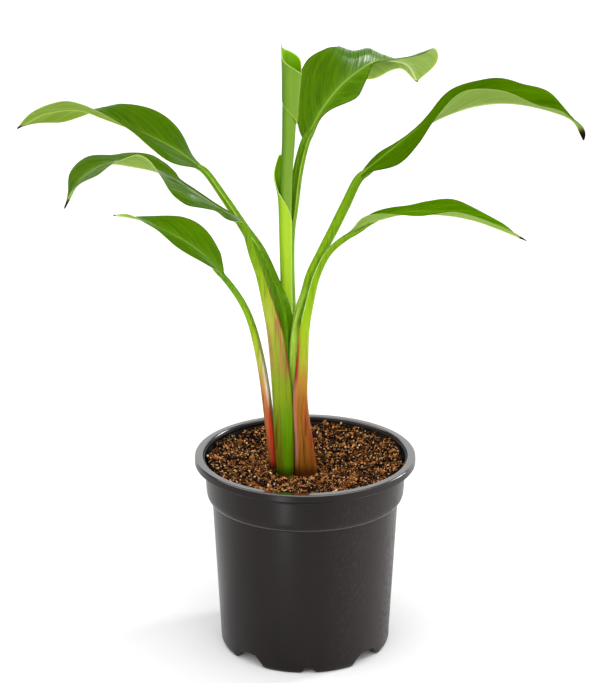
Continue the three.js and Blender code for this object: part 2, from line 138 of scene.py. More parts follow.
def new_tree(name, family, takes, gives):
    """A new node group with named inputs and outputs, and the sockets at its two ends."""
    tree = bpy.data.node_groups.new(name, family + "NodeTree")
    for way, kinds in (("INPUT", takes), ("OUTPUT", gives)):
        for label, kind in kinds.items():
            tree.interface.new_socket(label, in_out=way, socket_type="NodeSocket" + kind)
    return tree, tree.nodes.new("NodeGroupInput").outputs, tree.nodes.new("NodeGroupOutput").inputs


def geometry_tree(name, sizes):
    """A new tree that makes one geometry of another, with named sizes and a finish."""
    takes = {"Geometry": "Geometry", **sizes, "Finish": "Material"}
    return new_tree(name, "Geometry", takes, {"Geometry": "Geometry"})


def end_tree(tree, inputs, result, shape):
    """Ends a geometry tree: its shape becomes one plain mesh with its finish."""
    plain = first(tree, "GeometryNodeRealizeInstances", {0: shape})
    finished = first(tree, "GeometryNodeSetMaterial", {0: plain, "Material": inputs["Finish"]})
    tree.links.new(finished, result["Geometry"])


def new_object(name, data):
    """A new object in the scene, at the origin."""
    made = bpy.data.objects.new(name, data)
    bpy.context.scene.collection.objects.link(made)
    return made


def grown(name, base, tree, sizes):
    """An object with the plain mesh that a geometry tree makes of a base mesh."""
    piece = new_object(name, base)
    modifier = piece.modifiers.new(name, "NODES")
    modifier.node_group = tree
    sockets = [s for s in tree.interface.items_tree if s.in_out == "INPUT"]
    for label, value in sizes.items():
        identifier = next(s.identifier for s in sockets if s.name == label)
        modifier[identifier] = value
    depsgraph = bpy.context.evaluated_depsgraph_get()
    mesh = bpy.data.meshes.new_from_object(piece.evaluated_get(depsgraph))
    piece.modifiers.remove(modifier)
    piece.data = mesh
    return piece


def rounded(corners, steps=4):
    """An outline with rounded corners and a support point each side of them: radius, height, lifted."""
    points = []
    for i, (radius, height, rounding, lifted) in enumerate(corners):
        here = np.array((radius, height), float)
        if not rounding:
            points.append((*here, lifted))
            continue
        arms = [np.array(corners[k][:2], float) - here for k in (i - 1, i + 1)]
        reach = [min(rounding, ROUNDING_MOST * np.linalg.norm(arm)) for arm in arms]
        ends = [here + arm / np.linalg.norm(arm) * r for arm, r in zip(arms, reach)]
        supports = [end + ROUNDING_SUPPORT * (end - here) for end in ends]
        if np.linalg.norm(arms[0]) > 4 * rounding:
            points.append((*supports[0], lifted))
        for t in np.linspace(0, 1, steps + 1):
            bend = (1 - t) ** 2 * ends[0] + 2 * t * (1 - t) * here + t * t * ends[1]
            points.append((*bend, lifted))
        if np.linalg.norm(arms[1]) > 4 * rounding:
            points.append((*supports[1], lifted))
    return np.array(points)


def foot_cut(tree, angle, inputs, label):
    """How high the cuts of one kind lift the foot at an angle: four of them, with sloping sides."""
    quarter = math.pi / 2
    turned = maths(tree, "FLOORED_MODULO", maths(tree, "ADD", angle, quarter / 2), quarter)
    off = maths(tree, "ABSOLUTE", maths(tree, "SUBTRACT", turned, quarter / 2))
    edge, crown = (times(tree, inputs[label + end], 0.5) for end in (" foot", " top"))
    share = evenly(tree, times(tree, off, inputs["Foot radius"]), edge, crown)
    return times(tree, share, inputs[label + " height"])


def turned_pot_tree():
    """Turns an outline of points about the upright axis and lifts its foot into arches and notches."""
    sizes = {"Sides": "Int", "Turn": "Float", **{label: "Float" for label in (*POT_ARCH, *POT_NOTCH)}}
    tree, inputs, result = geometry_tree("turned pot", sizes)
    outline = inputs["Geometry"]
    size = add_node(tree, "GeometryNodeAttributeDomainSize", {"Geometry": outline}, component="MESH")
    count = size.outputs["Point Count"]
    around = maths(tree, "ADD", inputs["Sides"], 1.0)
    grid_sizes = {"Size X": 1.0, "Size Y": 1.0, "Vertices X": around, "Vertices Y": count}
    grid = add_node(tree, "GeometryNodeMeshGrid", grid_sizes).outputs["Mesh"]
    place = first(tree, "GeometryNodeInputPosition")
    across = xyz(tree, place)
    angle = times(tree, maths(tree, "ADD", across["X"], 0.5), 2 * math.pi)
    row = times(tree, maths(tree, "ADD", across["Y"], 0.5), maths(tree, "SUBTRACT", count, 1.0))
    from_outline = {"Geometry": outline, "Index": maths(tree, "ROUND", row)}
    lift_name = add_node(tree, "GeometryNodeInputNamedAttribute", {"Name": "lift"}, data_type="FLOAT")
    lift, corner = (
        first(tree, "GeometryNodeSampleIndex", {**from_outline, "Value": value}, data_type=kind)
        for kind, value in (("FLOAT", lift_name.outputs["Attribute"]), ("FLOAT_VECTOR", place))
    )
    corner = xyz(tree, corner)
    notch_angle = maths(tree, "SUBTRACT", angle, inputs["Turn"])
    arch_angle = maths(tree, "SUBTRACT", notch_angle, math.pi / 4)
    arch = foot_cut(tree, arch_angle, inputs, "Arch")
    notch = foot_cut(tree, notch_angle, inputs, "Notch")
    rise = times(tree, maths(tree, "MAXIMUM", arch, notch), lift)
    x = times(tree, corner["X"], maths(tree, "SINE", angle))
    y = times(tree, corner["X"], times(tree, maths(tree, "COSINE", angle), -1.0))
    spot = vector(tree, X=x, Y=y, Z=maths(tree, "ADD", corner["Z"], rise))
    shell = first(tree, "GeometryNodeSetPosition", {0: grid, "Position": spot})
    shell = first(tree, "GeometryNodeMergeByDistance", {0: shell, "Distance": POT_WELD})
    end_tree(tree, inputs, result, first(tree, "GeometryNodeSetShadeSmooth", {0: shell}))
    return tree


def tone(red, green, blue):
    """A colour given as it shows on a screen, 0 to 255, in the linear values that shaders take."""
    share = np.array((red, green, blue)) / 255
    linear = np.where(share <= 0.04045, share / 12.92, ((share + 0.055) / 1.055) ** 2.4)
    return (*linear.tolist(), 1.0)


def mottle_group():
    """Soft uneven patches, stretched along the upright axis as asked: a mask from 0 to 1."""
    takes = {"Place": "Vector", "Scale": "Float", "Stretch": "Float", "Contrast": "Float"}
    tree, inputs, result = new_tree("mottle", "Shader", takes, {"Mask": "Float"})
    squeeze = maths(tree, "DIVIDE", 1.0, inputs["Stretch"])
    place = vector_maths(tree, "MULTIPLY", inputs["Place"], vector(tree, X=1.0, Y=1.0, Z=squeeze))
    wires = {"Vector": place, "Scale": inputs["Scale"], "Detail": 4.0, "Roughness": 0.6}
    noise = first(tree, "ShaderNodeTexNoise", wires)
    centred = times(tree, maths(tree, "SUBTRACT", noise, 0.5), inputs["Contrast"])
    mask = first(tree, "ShaderNodeClamp", {0: maths(tree, "ADD", centred, 0.5)})
    tree.links.new(mask, result["Mask"])
    return tree


MOTTLE = mottle_group()


def mottle(tree, place, scale, stretch=1.0, contrast=2.0):
    wires = {"Place": place, "Scale": scale, "Stretch": stretch, "Contrast": contrast}
    return first(tree, "ShaderNodeGroup", wires, node_tree=MOTTLE)


def blend_tones(tree, mask, low, high, how="MIX"):
    """A colour between two colours, each a screen tone or another node's output."""
    low, high = (tone(*shade) if isinstance(shade, tuple) else shade for shade in (low, high))
    wires = {"Factor": mask, "A": low, "B": high}
    node = add_node(tree, "ShaderNodeMix", wires, data_type="RGBA", blend_type=how)
    return next(s for s in node.outputs if s.name == "Result" and s.enabled)


def new_material(name, **plain):
    """A material with its tree, its shader's inputs, plain values set, and its object's coordinates."""
    material = bpy.data.materials.new(name)
    material.use_nodes = True
    tree = material.node_tree
    surface = tree.nodes["Principled BSDF"].inputs
    for label, value in plain.items():
        surface[label.replace("_", " ")].default_value = value
    place = add_node(tree, "ShaderNodeTexCoord").outputs["Object"]
    return material, tree, surface, place


def feed(tree, surface, **wires):
    """Leads values that change over the surface to its shader."""
    for label, value in wires.items():
        tree.links.new(value, surface[label.replace("_", " ")])


def bump(tree, surface, height, depth):
    """Gives a surface a fine relief of the depth asked, in metres."""
    wires = {"Height": height, "Distance": depth, "Strength": 1.0}
    feed(tree, surface, Normal=first(tree, "ShaderNodeBump", wires))


def pot_plastic():
    material, tree, surface, place = new_material(
        "satin black plastic", Specular_IOR_Level=0.2, Coat_Roughness=0.08, Coat_IOR=2.1,
    )
    clouds = mottle(tree, place, POT_CLOUDS, stretch=4.0, contrast=2.4)
    scuffs = mottle(tree, place, POT_SCUFFS, stretch=1.6, contrast=5.0)
    grain = mottle(tree, place, POT_GRAIN, contrast=3.0)
    x, y, z = xyz(tree, place)
    on_right = over_mm(tree, x, *POT_SCUFFED)
    worn = times(tree, on_right, between(tree, scuffs, 0.5, 1.0), between(tree, clouds, 0.3, 0.8))
    colour = blend_tones(tree, clouds, (15, 9, 8), (24, 16, 15))
    # Lighter towards the right: partly rubbed wear, partly a painted reflection on that side.
    colour = blend_tones(tree, over_mm(tree, x, *POT_WEAR_AND_SHEEN), colour, (38, 31, 30))
    colour = blend_tones(tree, times(tree, worn, 0.3), colour, (58, 54, 52))
    rough = evenly(tree, clouds, 0.0, 1.0, 0.26, 0.36)
    rough = maths(tree, "ADD", rough, times(tree, worn, 0.15))
    collar = times(tree, *(over_mm(tree, z, *heights) for heights in COLLAR_SHINE))
    shine = maths(tree, "MAXIMUM", over_mm(tree, z, *RIM_SHINE), collar)
    feed(tree, surface, Base_Color=colour, Roughness=rough, Coat_Weight=shine)
    bump(tree, surface, grain, POT_GRAIN_DEPTH)
    return material


outline_points = rounded(POT_CORNERS)
outline = bpy.data.meshes.new("pot outline")
outline.from_pydata([(r * MM, 0, z * MM) for r, z, lifted in outline_points], [], [])
foot_share = outline_points[:, 2] * np.clip(1 - outline_points[:, 1] / POT_FOOT_BAND, 0, 1)
outline.attributes.new("lift", "FLOAT", "POINT").data.foreach_set("value", foot_share)
pot_sizes = {label: value * MM for label, value in {**POT_ARCH, **POT_NOTCH}.items()}
pot_sizes.update({"Sides": POT_SIDES, "Turn": POT_TURN, "Finish": pot_plastic()})
pot = grown("nursery_pot", outline, turned_pot_tree(), pot_sizes)
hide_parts("pot")
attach(pot, "root")


# Soil: moist peat and coir that fills the pot to just under its rim. It is one body with an uneven top,
# covered with loose crumbs of several browns and with short coir fibres.
SOIL_TOP = 110.0
SOIL_FLAT = 26.0
SOIL_EDGE = 57.2
SOIL_EDGE_RISE = 6.4
SOIL_UNEVEN = 1.5
# Round the stalks the soil is firm: up to a radius, from where it gets looser over a length.
SOIL_FIRM = 14
SOIL_LOOSENS = 10
# The hollow in front of the stalks: depth, middle and spread.
SOIL_HOLLOW = 2.2
SOIL_HOLLOW_AT = (-5, -12)
SOIL_HOLLOW_SPREAD = (15, 9)
SOIL_RINGS = 44
SOIL_SIDES = 160
# The buried outline inside the pot, from the edge of the top down to the middle of the floor: radius, height.
SOIL_BURIED = [(57, 108), (56.5, 96.6), (53.2, 92.3), (48.8, 8.8), (21.7, 8.8), (20.2, 1.8)]
# Scales of the packed soil's patches, of those on a crumb, of the grain on both, and of where crumbs gather.
SOIL_PATCHES = 160.0
CRUMB_PATCHES = 420.0
SOIL_GRAIN = 1400.0
CRUMB_GATHERING = 95.0
SOIL_GRAIN_DEPTH = 0.12 * MM
# Loose pieces lie inside a radius and above a height. Each kind: smallest and largest size and spacing in
# millimetres, how sparse, seed, dark and light tone.
CRUMB_REACH = 56.4 * MM
CRUMB_LOWEST = 106 * MM
CRUMB_DENSITY = 4e6
CRUMBS = {
    "crumbs_black": (0.8, 3.2, 1.7, 0.3, 11, (6, 4, 2), (20, 11, 6)),
    "crumbs_dark": (0.8, 3.2, 1.7, 0.42, 23, (46, 25, 10), (88, 49, 20)),
    "crumbs_brown": (0.7, 2.7, 1.6, 0.49, 37, (104, 60, 25), (158, 96, 46)),
    "crumbs_tan": (0.6, 2.4, 1.7, 0.49, 41, (184, 115, 56), (238, 172, 106)),
    "crumbs_pale": (0.6, 2.1, 2.8, 0.42, 59, (222, 172, 118), (250, 218, 174)),
    "peat_lumps": (2.8, 5.6, 9.0, 0.46, 73, (112, 66, 29), (184, 120, 62)),
}
FIBRES = {"coir_fibres": (2.2, 6.0, 2.8, 0.4, 67, (150, 94, 44), (222, 162, 98))}
CRUMB_PULL = 1.1
FULL_TURN = 6.28
FIBRE_TILT = 0.35


def soil_height(x, y):
    """The height of the soil's top: flat round the stalks, rising to the wall, with shallow lumps."""
    radius = np.hypot(x, y)
    rise = np.clip((radius - SOIL_FLAT) / (SOIL_EDGE - SOIL_FLAT), 0, 1) * SOIL_EDGE_RISE
    lumps = np.sin(0.21 * x + 0.4) * np.cos(0.17 * y) + 0.6 * np.sin(0.43 * x - 0.31 * y + 1.1)
    lumps += 0.6 * np.cos(0.52 * y + 0.23 * x) + 0.5 * np.sin(0.9 * x + 0.7 * y) * np.cos(0.8 * y - 0.6 * x)
    loose = np.clip((radius - SOIL_FIRM) / SOIL_LOOSENS, 0.25, 1)
    off_x = (x - SOIL_HOLLOW_AT[0]) / SOIL_HOLLOW_SPREAD[0]
    off_y = (y - SOIL_HOLLOW_AT[1]) / SOIL_HOLLOW_SPREAD[1]
    hollow = SOIL_HOLLOW * np.exp(-off_x ** 2 - off_y ** 2)
    return SOIL_TOP + rise + SOIL_UNEVEN * lumps * 0.6 * loose - hollow


def soil_mesh():
    turn = np.linspace(0, 2 * math.pi, SOIL_SIDES, endpoint=False)
    radii = [*np.linspace(0, SOIL_EDGE, SOIL_RINGS + 1)[1:], *(radius for radius, height in SOIL_BURIED)]
    x, y = np.outer(radii, np.cos(turn)), np.outer(radii, np.sin(turn))
    z = soil_height(x, y)
    z[SOIL_RINGS:] = [[height] for radius, height in SOIL_BURIED]
    rings = np.stack([x, y, z], -1).reshape(-1, 3)
    points = np.vstack([(0, 0, soil_height(0, 0)), rings, (0, 0, SOIL_BURIED[-1][1])]) * MM
    index = 1 + np.arange(len(rings)).reshape(-1, SOIL_SIDES)
    after = np.roll(index, -1, axis=1)
    top = np.stack([np.zeros(SOIL_SIDES, int), index[0], after[0]], 1)
    sides = np.stack([index[:-1], index[1:], after[1:], after[:-1]], -1).reshape(-1, 4)
    foot = np.stack([index[-1], np.full(SOIL_SIDES, len(points) - 1), after[-1]], 1)
    mesh = bpy.data.meshes.new("soil")
    mesh.from_pydata(points.tolist(), [], [*top.tolist(), *sides.tolist(), *foot.tolist()])
    mesh.shade_smooth()
    return mesh


def soil_finish(name, dark, light, scale):
    material, tree, surface, place = new_material(name, Roughness=0.9, Specular_IOR_Level=0.1)
    patches = mottle(tree, place, scale, contrast=3.0)
    feed(tree, surface, Base_Color=blend_tones(tree, patches, dark, light))
    bump(tree, surface, mottle(tree, place, SOIL_GRAIN), SOIL_GRAIN_DEPTH)
    return material


def top_of_soil(tree, inputs):
    """True on the top of the soil inside the wall, in the patches where one kind of crumb gathers."""
    place = first(tree, "GeometryNodeInputPosition")
    x, y, z = xyz(tree, place)
    flat = vector(tree, X=x, Y=y)
    radius = add_node(tree, "ShaderNodeVectorMath", {0: flat}, operation="LENGTH").outputs["Value"]
    inside = maths(tree, "LESS_THAN", radius, inputs["Reach"])
    high = maths(tree, "GREATER_THAN", z, inputs["Lowest"])
    moved = vector_maths(tree, "ADD", place, vector(tree, X=inputs["Seed"], Y=inputs["Seed"]))
    patches = first(tree, "ShaderNodeTexNoise", {"Vector": moved, "Scale": CRUMB_GATHERING, "Detail": 3.0})
    return times(tree, inside, high, maths(tree, "GREATER_THAN", patches, inputs["Sparse"]))


def random_node(tree, kind, low, high, seed):
    node = add_node(tree, "FunctionNodeRandomValue", {"Min": low, "Max": high, "Seed": seed}, data_type=kind)
    return next(s for s in node.outputs if s.enabled)


def scatter(tree, inputs, result, shape, least_spin, most_spin):
    """Sets copies of a shape over the soil's top, of random size and turn, and makes them one plain mesh."""
    wires = {
        "Mesh": inputs["Geometry"], "Selection": top_of_soil(tree, inputs), "Seed": inputs["Seed"],
        "Distance Min": inputs["Spacing"], "Density Max": inputs["Density"],
    }
    points = first(tree, "GeometryNodeDistributePointsOnFaces", wires, distribute_method="POISSON")
    chance = random_node(tree, "FLOAT", 0.0, 1.0, inputs["Seed"])
    small_often = maths(tree, "POWER", chance, 1.8)
    size = evenly(tree, small_often, 0.0, 1.0, inputs["Smallest"], inputs["Largest"])
    squash = random_node(tree, "FLOAT_VECTOR", (0.7, 0.45, 0.4), (1.5, 1.0, 0.8), inputs["Seed"])
    scale = vector_maths(tree, "SCALE", squash, Scale=size)
    spin = random_node(tree, "FLOAT_VECTOR", least_spin, most_spin, inputs["Seed"])
    rotation = first(tree, "FunctionNodeEulerToRotation", {0: spin})
    wires = {"Points": points, "Instance": shape, "Rotation": rotation, "Scale": scale}
    end_tree(tree, inputs, result, first(tree, "GeometryNodeInstanceOnPoints", wires))


def scatter_tree(name):
    lengths = ("Reach", "Lowest", "Spacing", "Density", "Smallest", "Largest", "Sparse")
    return geometry_tree(name, {**{label: "Float" for label in lengths}, "Seed": "Int"})


def crumb_tree():
    """Angular crumbs: twenty-sided lumps pulled out of shape."""
    tree, inputs, result = scatter_tree("loose crumbs")
    lump = add_node(tree, "GeometryNodeMeshIcoSphere", {"Radius": 0.5, "Subdivisions": 1}).outputs["Mesh"]
    place = first(tree, "GeometryNodeInputPosition")
    wires = {"Vector": place, "Scale": 2.3, "Detail": 2.0}
    pull = add_node(tree, "ShaderNodeTexNoise", wires).outputs["Color"]
    pull = vector_maths(tree, "SUBTRACT", pull, (0.5, 0.5, 0.5))
    pull = vector_maths(tree, "SCALE", pull, Scale=CRUMB_PULL)
    lump = first(tree, "GeometryNodeSetPosition", {0: lump, "Offset": pull})
    scatter(tree, inputs, result, lump, (0, 0, 0), (FULL_TURN, FULL_TURN, FULL_TURN))
    return tree


def fibre_tree():
    """Short bent coir fibres that lie on the crumbs."""
    tree, inputs, result = scatter_tree("coir fibres")
    bow = {"Resolution": 4, "Start": (-0.5, 0, 0), "Middle": (0.05, 0.25, 0.16), "End": (0.5, 0.02, 0.04)}
    section = add_node(tree, "GeometryNodeCurvePrimitiveCircle", {"Resolution": 4, "Radius": 0.05})
    wires = {
        "Curve": first(tree, "GeometryNodeCurveQuadraticBezier", bow),
        "Profile Curve": section.outputs["Curve"], "Fill Caps": True,
    }
    strand = first(tree, "GeometryNodeCurveToMesh", wires)
    scatter(tree, inputs, result, strand, (-FIBRE_TILT, -FIBRE_TILT, 0), (FIBRE_TILT, FIBRE_TILT, FULL_TURN))
    return tree


soil_base = soil_mesh()
# Near black: the moist peat's own dark brown, darkened further as painted shade in the gaps between the
# crumbs.
soil_base.materials.append(soil_finish("packed peat and gap shade", (8, 5, 3), (24, 13, 7), SOIL_PATCHES))
soil = new_object("soil_body", soil_base)
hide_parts("soil")
crumbs, fibres = crumb_tree(), fibre_tree()
loose = [soil]
for label, (smallest, largest, spacing, sparse, seed, dark, light) in {**CRUMBS, **FIBRES}.items():
    loose_sizes = {
        "Reach": CRUMB_REACH, "Lowest": CRUMB_LOWEST, "Spacing": spacing * MM, "Density": CRUMB_DENSITY,
        "Smallest": smallest * MM, "Largest": largest * MM, "Sparse": sparse, "Seed": seed,
        "Finish": soil_finish(label, dark, light, CRUMB_PATCHES),
    }
    loose.append(grown(label, soil_base.copy(), fibres if label in FIBRES else crumbs, loose_sizes))
for piece in loose:
    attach(piece, "root")


# Leaf stalks: fleshy stalks, round outside and channelled on the side towards the bundle. They stand side by
# side in the soil, green and yellow above, flushed with red, pink and brown towards the foot, and each runs
# out as a keel under its own blade.
FOOT = SOIL_TOP - 4
STALK_SIDES = 40
STALK_STEPS = 9
CHANNEL = 0.4
GROOVE = 0.45
GROOVE_HALF = 0.45
# The groove starts at this row of a stalk and is full so many rows higher.
GROOVE_FROM = 1
GROOVE_GROWS = 3
RIB_STEPS = 60
BUNDLE = (-6, -2)
# The stalk under its blade: share of the blade's length, shares of the depth and breadth at the stalk's last
# row, drop below the rib. The rib is worked out closely up to a share of its length.
RUN_END = 0.25
RUN_STEPS = 126
STALK_RUN = [
    (0, 0.88, 0.92, 0.8), (0.04, 0.76, 0.8, 1.2), (0.08, 0.6, 0.62, 1.4), (0.14, 0.4, 0.42, 1.1),
    (0.2, 0.2, 0.2, 0.7),
]
# Each leaf stands in an upright plane through a point of the bundle, with its heading in degrees from +X
# towards +Y. Stalk rows: x, y, height, half depth, half breadth. Rib rows: reach from the bundle, height.
# The other rows start with a share of the blade's length and hold a value for its left and its right half:
# tilt in degrees, share of the half width, and curl, the bend across the half in degrees. Rise and fall: how
# the blade widens and narrows. Dry: how far the blackening reaches from the tip. Slant: run of the veins
# along the blade for each step across. Wax: roughness and gloss of the upper face. Gleam: the polished band
# on it, by its middle and half breadth across the blade, its strength and where along the blade it starts.
# Green: what the tones of the upper and of the under face are multiplied by.
LEAVES = {
    "top": dict(
        heading=55, start=(-6, 3), half_width=24, rise=0.55, fall=0.4, dry=1.5, slant=1.3,
        wax=(0.3, 0.03), gleam=(-11, 14, 1, 66), green=(1, (1.07, 1.04, 1.2)),
        stalk=[
            (-3, 9, FOOT, 2.9, 3), (-4, 10.4, 160, 2.7, 2.9), (-7.8, 13, 210, 2.4, 2.6),
            (-8.2, 13, 248, 2.4, 2.6), (-5.9, 12.6, 268, 2.5, 2.7), (-3.5, 12.2, 288, 2.7, 2.9),
        ],
        rib=[
            (11, 305), (24.5, 318), (44.5, 329.5), (64, 335.5), (83, 338), (105, 334.5), (119.5, 328.5),
            (129, 317.5),
        ],
        tilt=[
            (0, -20, -10), (0.12, 4, -32), (0.24, 32, -48), (0.36, 62, -53), (0.47, 78, -42),
            (0.57, 66, -18), (0.68, 40, 8), (0.78, 24, 20), (0.86, 16, 33), (1, 2, 12),
        ],
        share=[
            (0, 0.93, 0.5), (0.06, 0.97, 0.24), (0.14, 0.98, 0.19), (0.28, 1.2, 0.47), (0.36, 1.02, 0.53),
            (0.45, 0.82, 0.34), (0.57, 1.1, 0.07), (0.63, 1.25, 0.12), (0.74, 0.66, 0.5),
            (0.82, 0.38, 0.98), (0.91, 0.27, 1.05), (1, 0.2, 0.1),
        ],
        curl=[
            (0, 15, 0), (0.2, 12, 0), (0.37, 0, 0), (0.5, -60, 0), (0.63, -145, 0), (0.78, -132, 0),
            (1, -10, 0),
        ],
    ),
    "upper_left": dict(
        heading=155, start=BUNDLE, half_width=19, rise=0.75, fall=0.8, dry=5, slant=2.6,
        wax=(0.32, 0.02), gleam=(-5, 6, 0.9, 0), green=(0.94, (0.9, 0.92, 0.66)),
        stalk=[
            (-10.3, 0.3, FOOT, 4.6, 3), (-12.2, -1.6, 158, 4.4, 4.2), (-12.4, -2.6, 186, 4.6, 4.8),
            (-13.5, 0, 206, 5.1, 4.6), (-19.2, 5, 223, 4, 3.9), (-27, 11, 240, 3.6, 3.1),
            (-35.1, 14.6, 252, 2.6, 2.8), (-47.6, 19, 270.5, 2, 2.5),
        ],
        rib=[(57, 285), (74, 294.5), (100, 303.5), (122, 309), (139, 312.3), (163, 307.5), (182.5, 296.5)],
        tilt=[
            (0, 5, -15), (0.1, -18, -13), (0.22, 0, 14), (0.34, 17, 31), (0.5, 28, 28), (0.62, 28, -9),
            (0.72, 22, -27), (0.85, 16, -36), (1, 5, -4),
        ],
        share=[
            (0, 1.2, 0.95), (0.2, 1.05, 1.18), (0.34, 0.87, 1.04), (0.53, 1.02, 0.76), (0.68, 1.12, 1),
            (0.85, 1.04, 1.16), (1, 1, 1.22),
        ],
    ),
    "upper_right": dict(
        heading=12, start=BUNDLE, half_width=19, rise=0.6, fall=0.8, dry=8.5, slant=2.6,
        wax=(0.4, 0), gleam=(0, 3, 0, 0), green=(0.94, 0.95),
        stalk=[
            (-0.3, 0.3, FOOT, 4.6, 3), (-4.8, -1.8, 158, 5, 4.6), (-6, -2.6, 182, 4.6, 5.2),
            (-4.7, -0.6, 201, 3.4, 4.4), (-0.3, 2.2, 215, 2.8, 3.4), (3.2, 4, 227.5, 2.7, 3),
            (8.2, 4.8, 238.5, 2.5, 2.9), (15.8, 5.5, 253.5, 2.8, 2.8), (22.7, 5.8, 268, 2.8, 2.7),
        ],
        rib=[
            (37, 285), (53, 298), (76, 314), (102, 323), (125, 324), (150, 318), (163.5, 311.5),
            (170.5, 299.5),
        ],
        tilt=[
            (0, -4, 18), (0.12, -7, -14), (0.24, -19, -3), (0.36, -6, 25), (0.48, 22, 49), (0.6, 30, 44),
            (0.72, 24, 16), (0.82, 31, 16), (0.9, 13, 4), (1, 8, 40),
        ],
        share=[
            (0, 1, 0.95), (0.1, 1.1, 1.18), (0.22, 0.94, 1.11), (0.4, 1.12, 1.05), (0.55, 1.08, 0.77),
            (0.7, 1.4, 0.72), (0.85, 1.38, 1.08), (1, 0.95, 1.35),
        ],
    ),
    "middle_left": dict(
        heading=195, start=BUNDLE, half_width=18, rise=0.5, fall=0.75, dry=6.5, slant=2.4,
        wax=(0.3, 0.04), gleam=(-6, 9, 1, 0), green=(0.92, 1),
        stalk=[
            (-11.7, -7.2, FOOT, 4.9, 4.3), (-12.4, -7.4, 130, 5.7, 4.3), (-13.3, -7.8, 155, 5.8, 4.3),
            (-14.9, -8.3, 177.5, 5.5, 4.2), (-17.5, -8.8, 198, 4.7, 4), (-21.9, -9.3, 216.5, 3.3, 3.5),
            (-25.9, -9.7, 232, 2.4, 3), (-29.7, -9.9, 243, 2.1, 2.7),
        ],
        rib=[
            (30.5, 263.5), (43.5, 272), (60, 284), (77, 295.3), (93, 300), (106, 302), (121, 294.5),
            (131.5, 278),
        ],
        tilt=[
            (0, 10, 5), (0.1, 0, 36), (0.2, 0, 40), (0.3, 2, 40), (0.42, 4, 38), (0.5, 14, 28),
            (0.6, 34, 15), (0.68, 16, 5), (0.78, -2, 20), (0.88, 12, 24), (1, 35, 15),
        ],
        share=[
            (0, 1.25, 0.6), (0.05, 1.1, 0.25), (0.1, 0.76, 0.12), (0.14, 0.42, 0.12), (0.2, 0.57, 0.12),
            (0.3, 0.93, 0.13), (0.36, 0.94, 0.15), (0.385, 0.92, 0.27), (0.42, 0.88, 0.38),
            (0.46, 0.92, 0.52), (0.5, 1, 0.7), (0.6, 1, 0.9), (0.68, 1, 0.94), (0.78, 1, 1.13),
            (0.86, 1, 1.2), (0.89, 1, 1.05), (0.92, 1, 0.75), (0.96, 0.9, 0.5), (1, 0.8, 0.5),
        ],
        curl=[
            (0, 0, 0), (0.1, -24, 0), (0.2, -40, 0), (0.3, -46, 0), (0.4, -40, 0), (0.48, -18, 0),
            (0.56, 0, 0), (1, 0, 0),
        ],
    ),
    "lower_right": dict(
        heading=-8, start=BUNDLE, half_width=15.3, rise=0.65, fall=0.95, dry=5, slant=2.6,
        wax=(0.4, 0), gleam=(0, 3, 0, 0), green=(1.1, 1),
        stalk=[
            (0.7, -7, FOOT, 7.2, 4.2), (-0.9, -7.2, 130, 5.4, 4.2), (-2.9, -7.3, 155, 4.4, 4.1),
            (-1.9, -7.2, 177, 3.7, 4), (-0.5, -7, 198, 3, 3.7), (2.9, -6.8, 216, 2.4, 3.3),
            (6.8, -6.6, 231, 2.1, 3), (13.6, -6.4, 244.6, 2, 2.7),
        ],
        rib=[(30, 254.2), (44, 263), (60, 268.3), (82, 269), (100, 266.6), (117, 261), (131.5, 255.2)],
        tilt=[
            (0, 25, 60), (0.12, 14, 40), (0.32, 1, 13), (0.44, 9, 9), (0.6, 23, 24), (0.78, 18, 27),
            (0.9, 8, 33), (1, -35, 34),
        ],
        share=[
            (0, 0.4, 0.4), (0.05, 0.45, 0.42), (0.1, 0.75, 0.68), (0.17, 0.96, 0.92), (0.35, 0.97, 1.04),
            (0.55, 1.05, 1.04), (0.73, 0.86, 1.01), (0.9, 1.12, 1), (1, 1.22, 1),
        ],
    ),
    "lower_left": dict(
        heading=165, start=BUNDLE, half_width=14, rise=0.6, fall=1.2, dry=1.5, slant=2.6,
        wax=(0.32, 0.02), gleam=(-3.5, 4.5, 0.9, 0), green=(1.06, 1),
        stalk=[
            (-18.2, 0.4, FOOT, 2.5, 2.8), (-21.3, 1.2, 140.5, 2.8, 2.7), (-25.7, 2.6, 174, 2.5, 2.5),
            (-31.8, 4.4, 199.5, 2, 2.3), (-37.7, 6.2, 212, 1.8, 2.2),
        ],
        rib=[(42.5, 225.5), (52, 235), (64, 243.5), (78, 250), (92, 255.5), (109, 257)],
        tilt=[
            (0, 20, 38), (0.15, 9, 27), (0.4, 1, 38), (0.6, 13, 32), (0.75, 16, 8), (0.87, 40, -15),
            (1, 75, -60),
        ],
        share=[
            (0, 0.6, 0.45), (0.06, 0.78, 0.58), (0.15, 1, 0.86), (0.5, 1.03, 1.1), (0.78, 1.04, 0.94),
            (1, 1.15, 1.1),
        ],
    ),
}


def spline(points, steps):
    """A smooth curve through given points, evenly divided between each two of them."""
    p = np.array(points, float)
    p = np.vstack([2 * p[0] - p[1], p, 2 * p[-1] - p[-2]])
    spans = np.linalg.norm(np.diff(p, axis=0), axis=1) ** 0.5
    curve = []
    for i in range(1, len(p) - 2):
        before, span, after = spans[i - 1:i + 2]
        here, there = p[i], p[i + 1]
        start = (here - p[i - 1]) / before - (there - p[i - 1]) / (before + span) + (there - here) / span
        end = (there - here) / span - (p[i + 2] - here) / (span + after) + (p[i + 2] - there) / after
        start, end = start * span, end * span
        for t in np.arange(steps) / steps:
            square, cube = t * t, t ** 3
            curve.append(
                here * (2 * cube - 3 * square + 1) + start * (cube - 2 * square + t)
                + there * (3 * square - 2 * cube) + end * (cube - square)
            )
    return np.array([*curve, p[-2]])


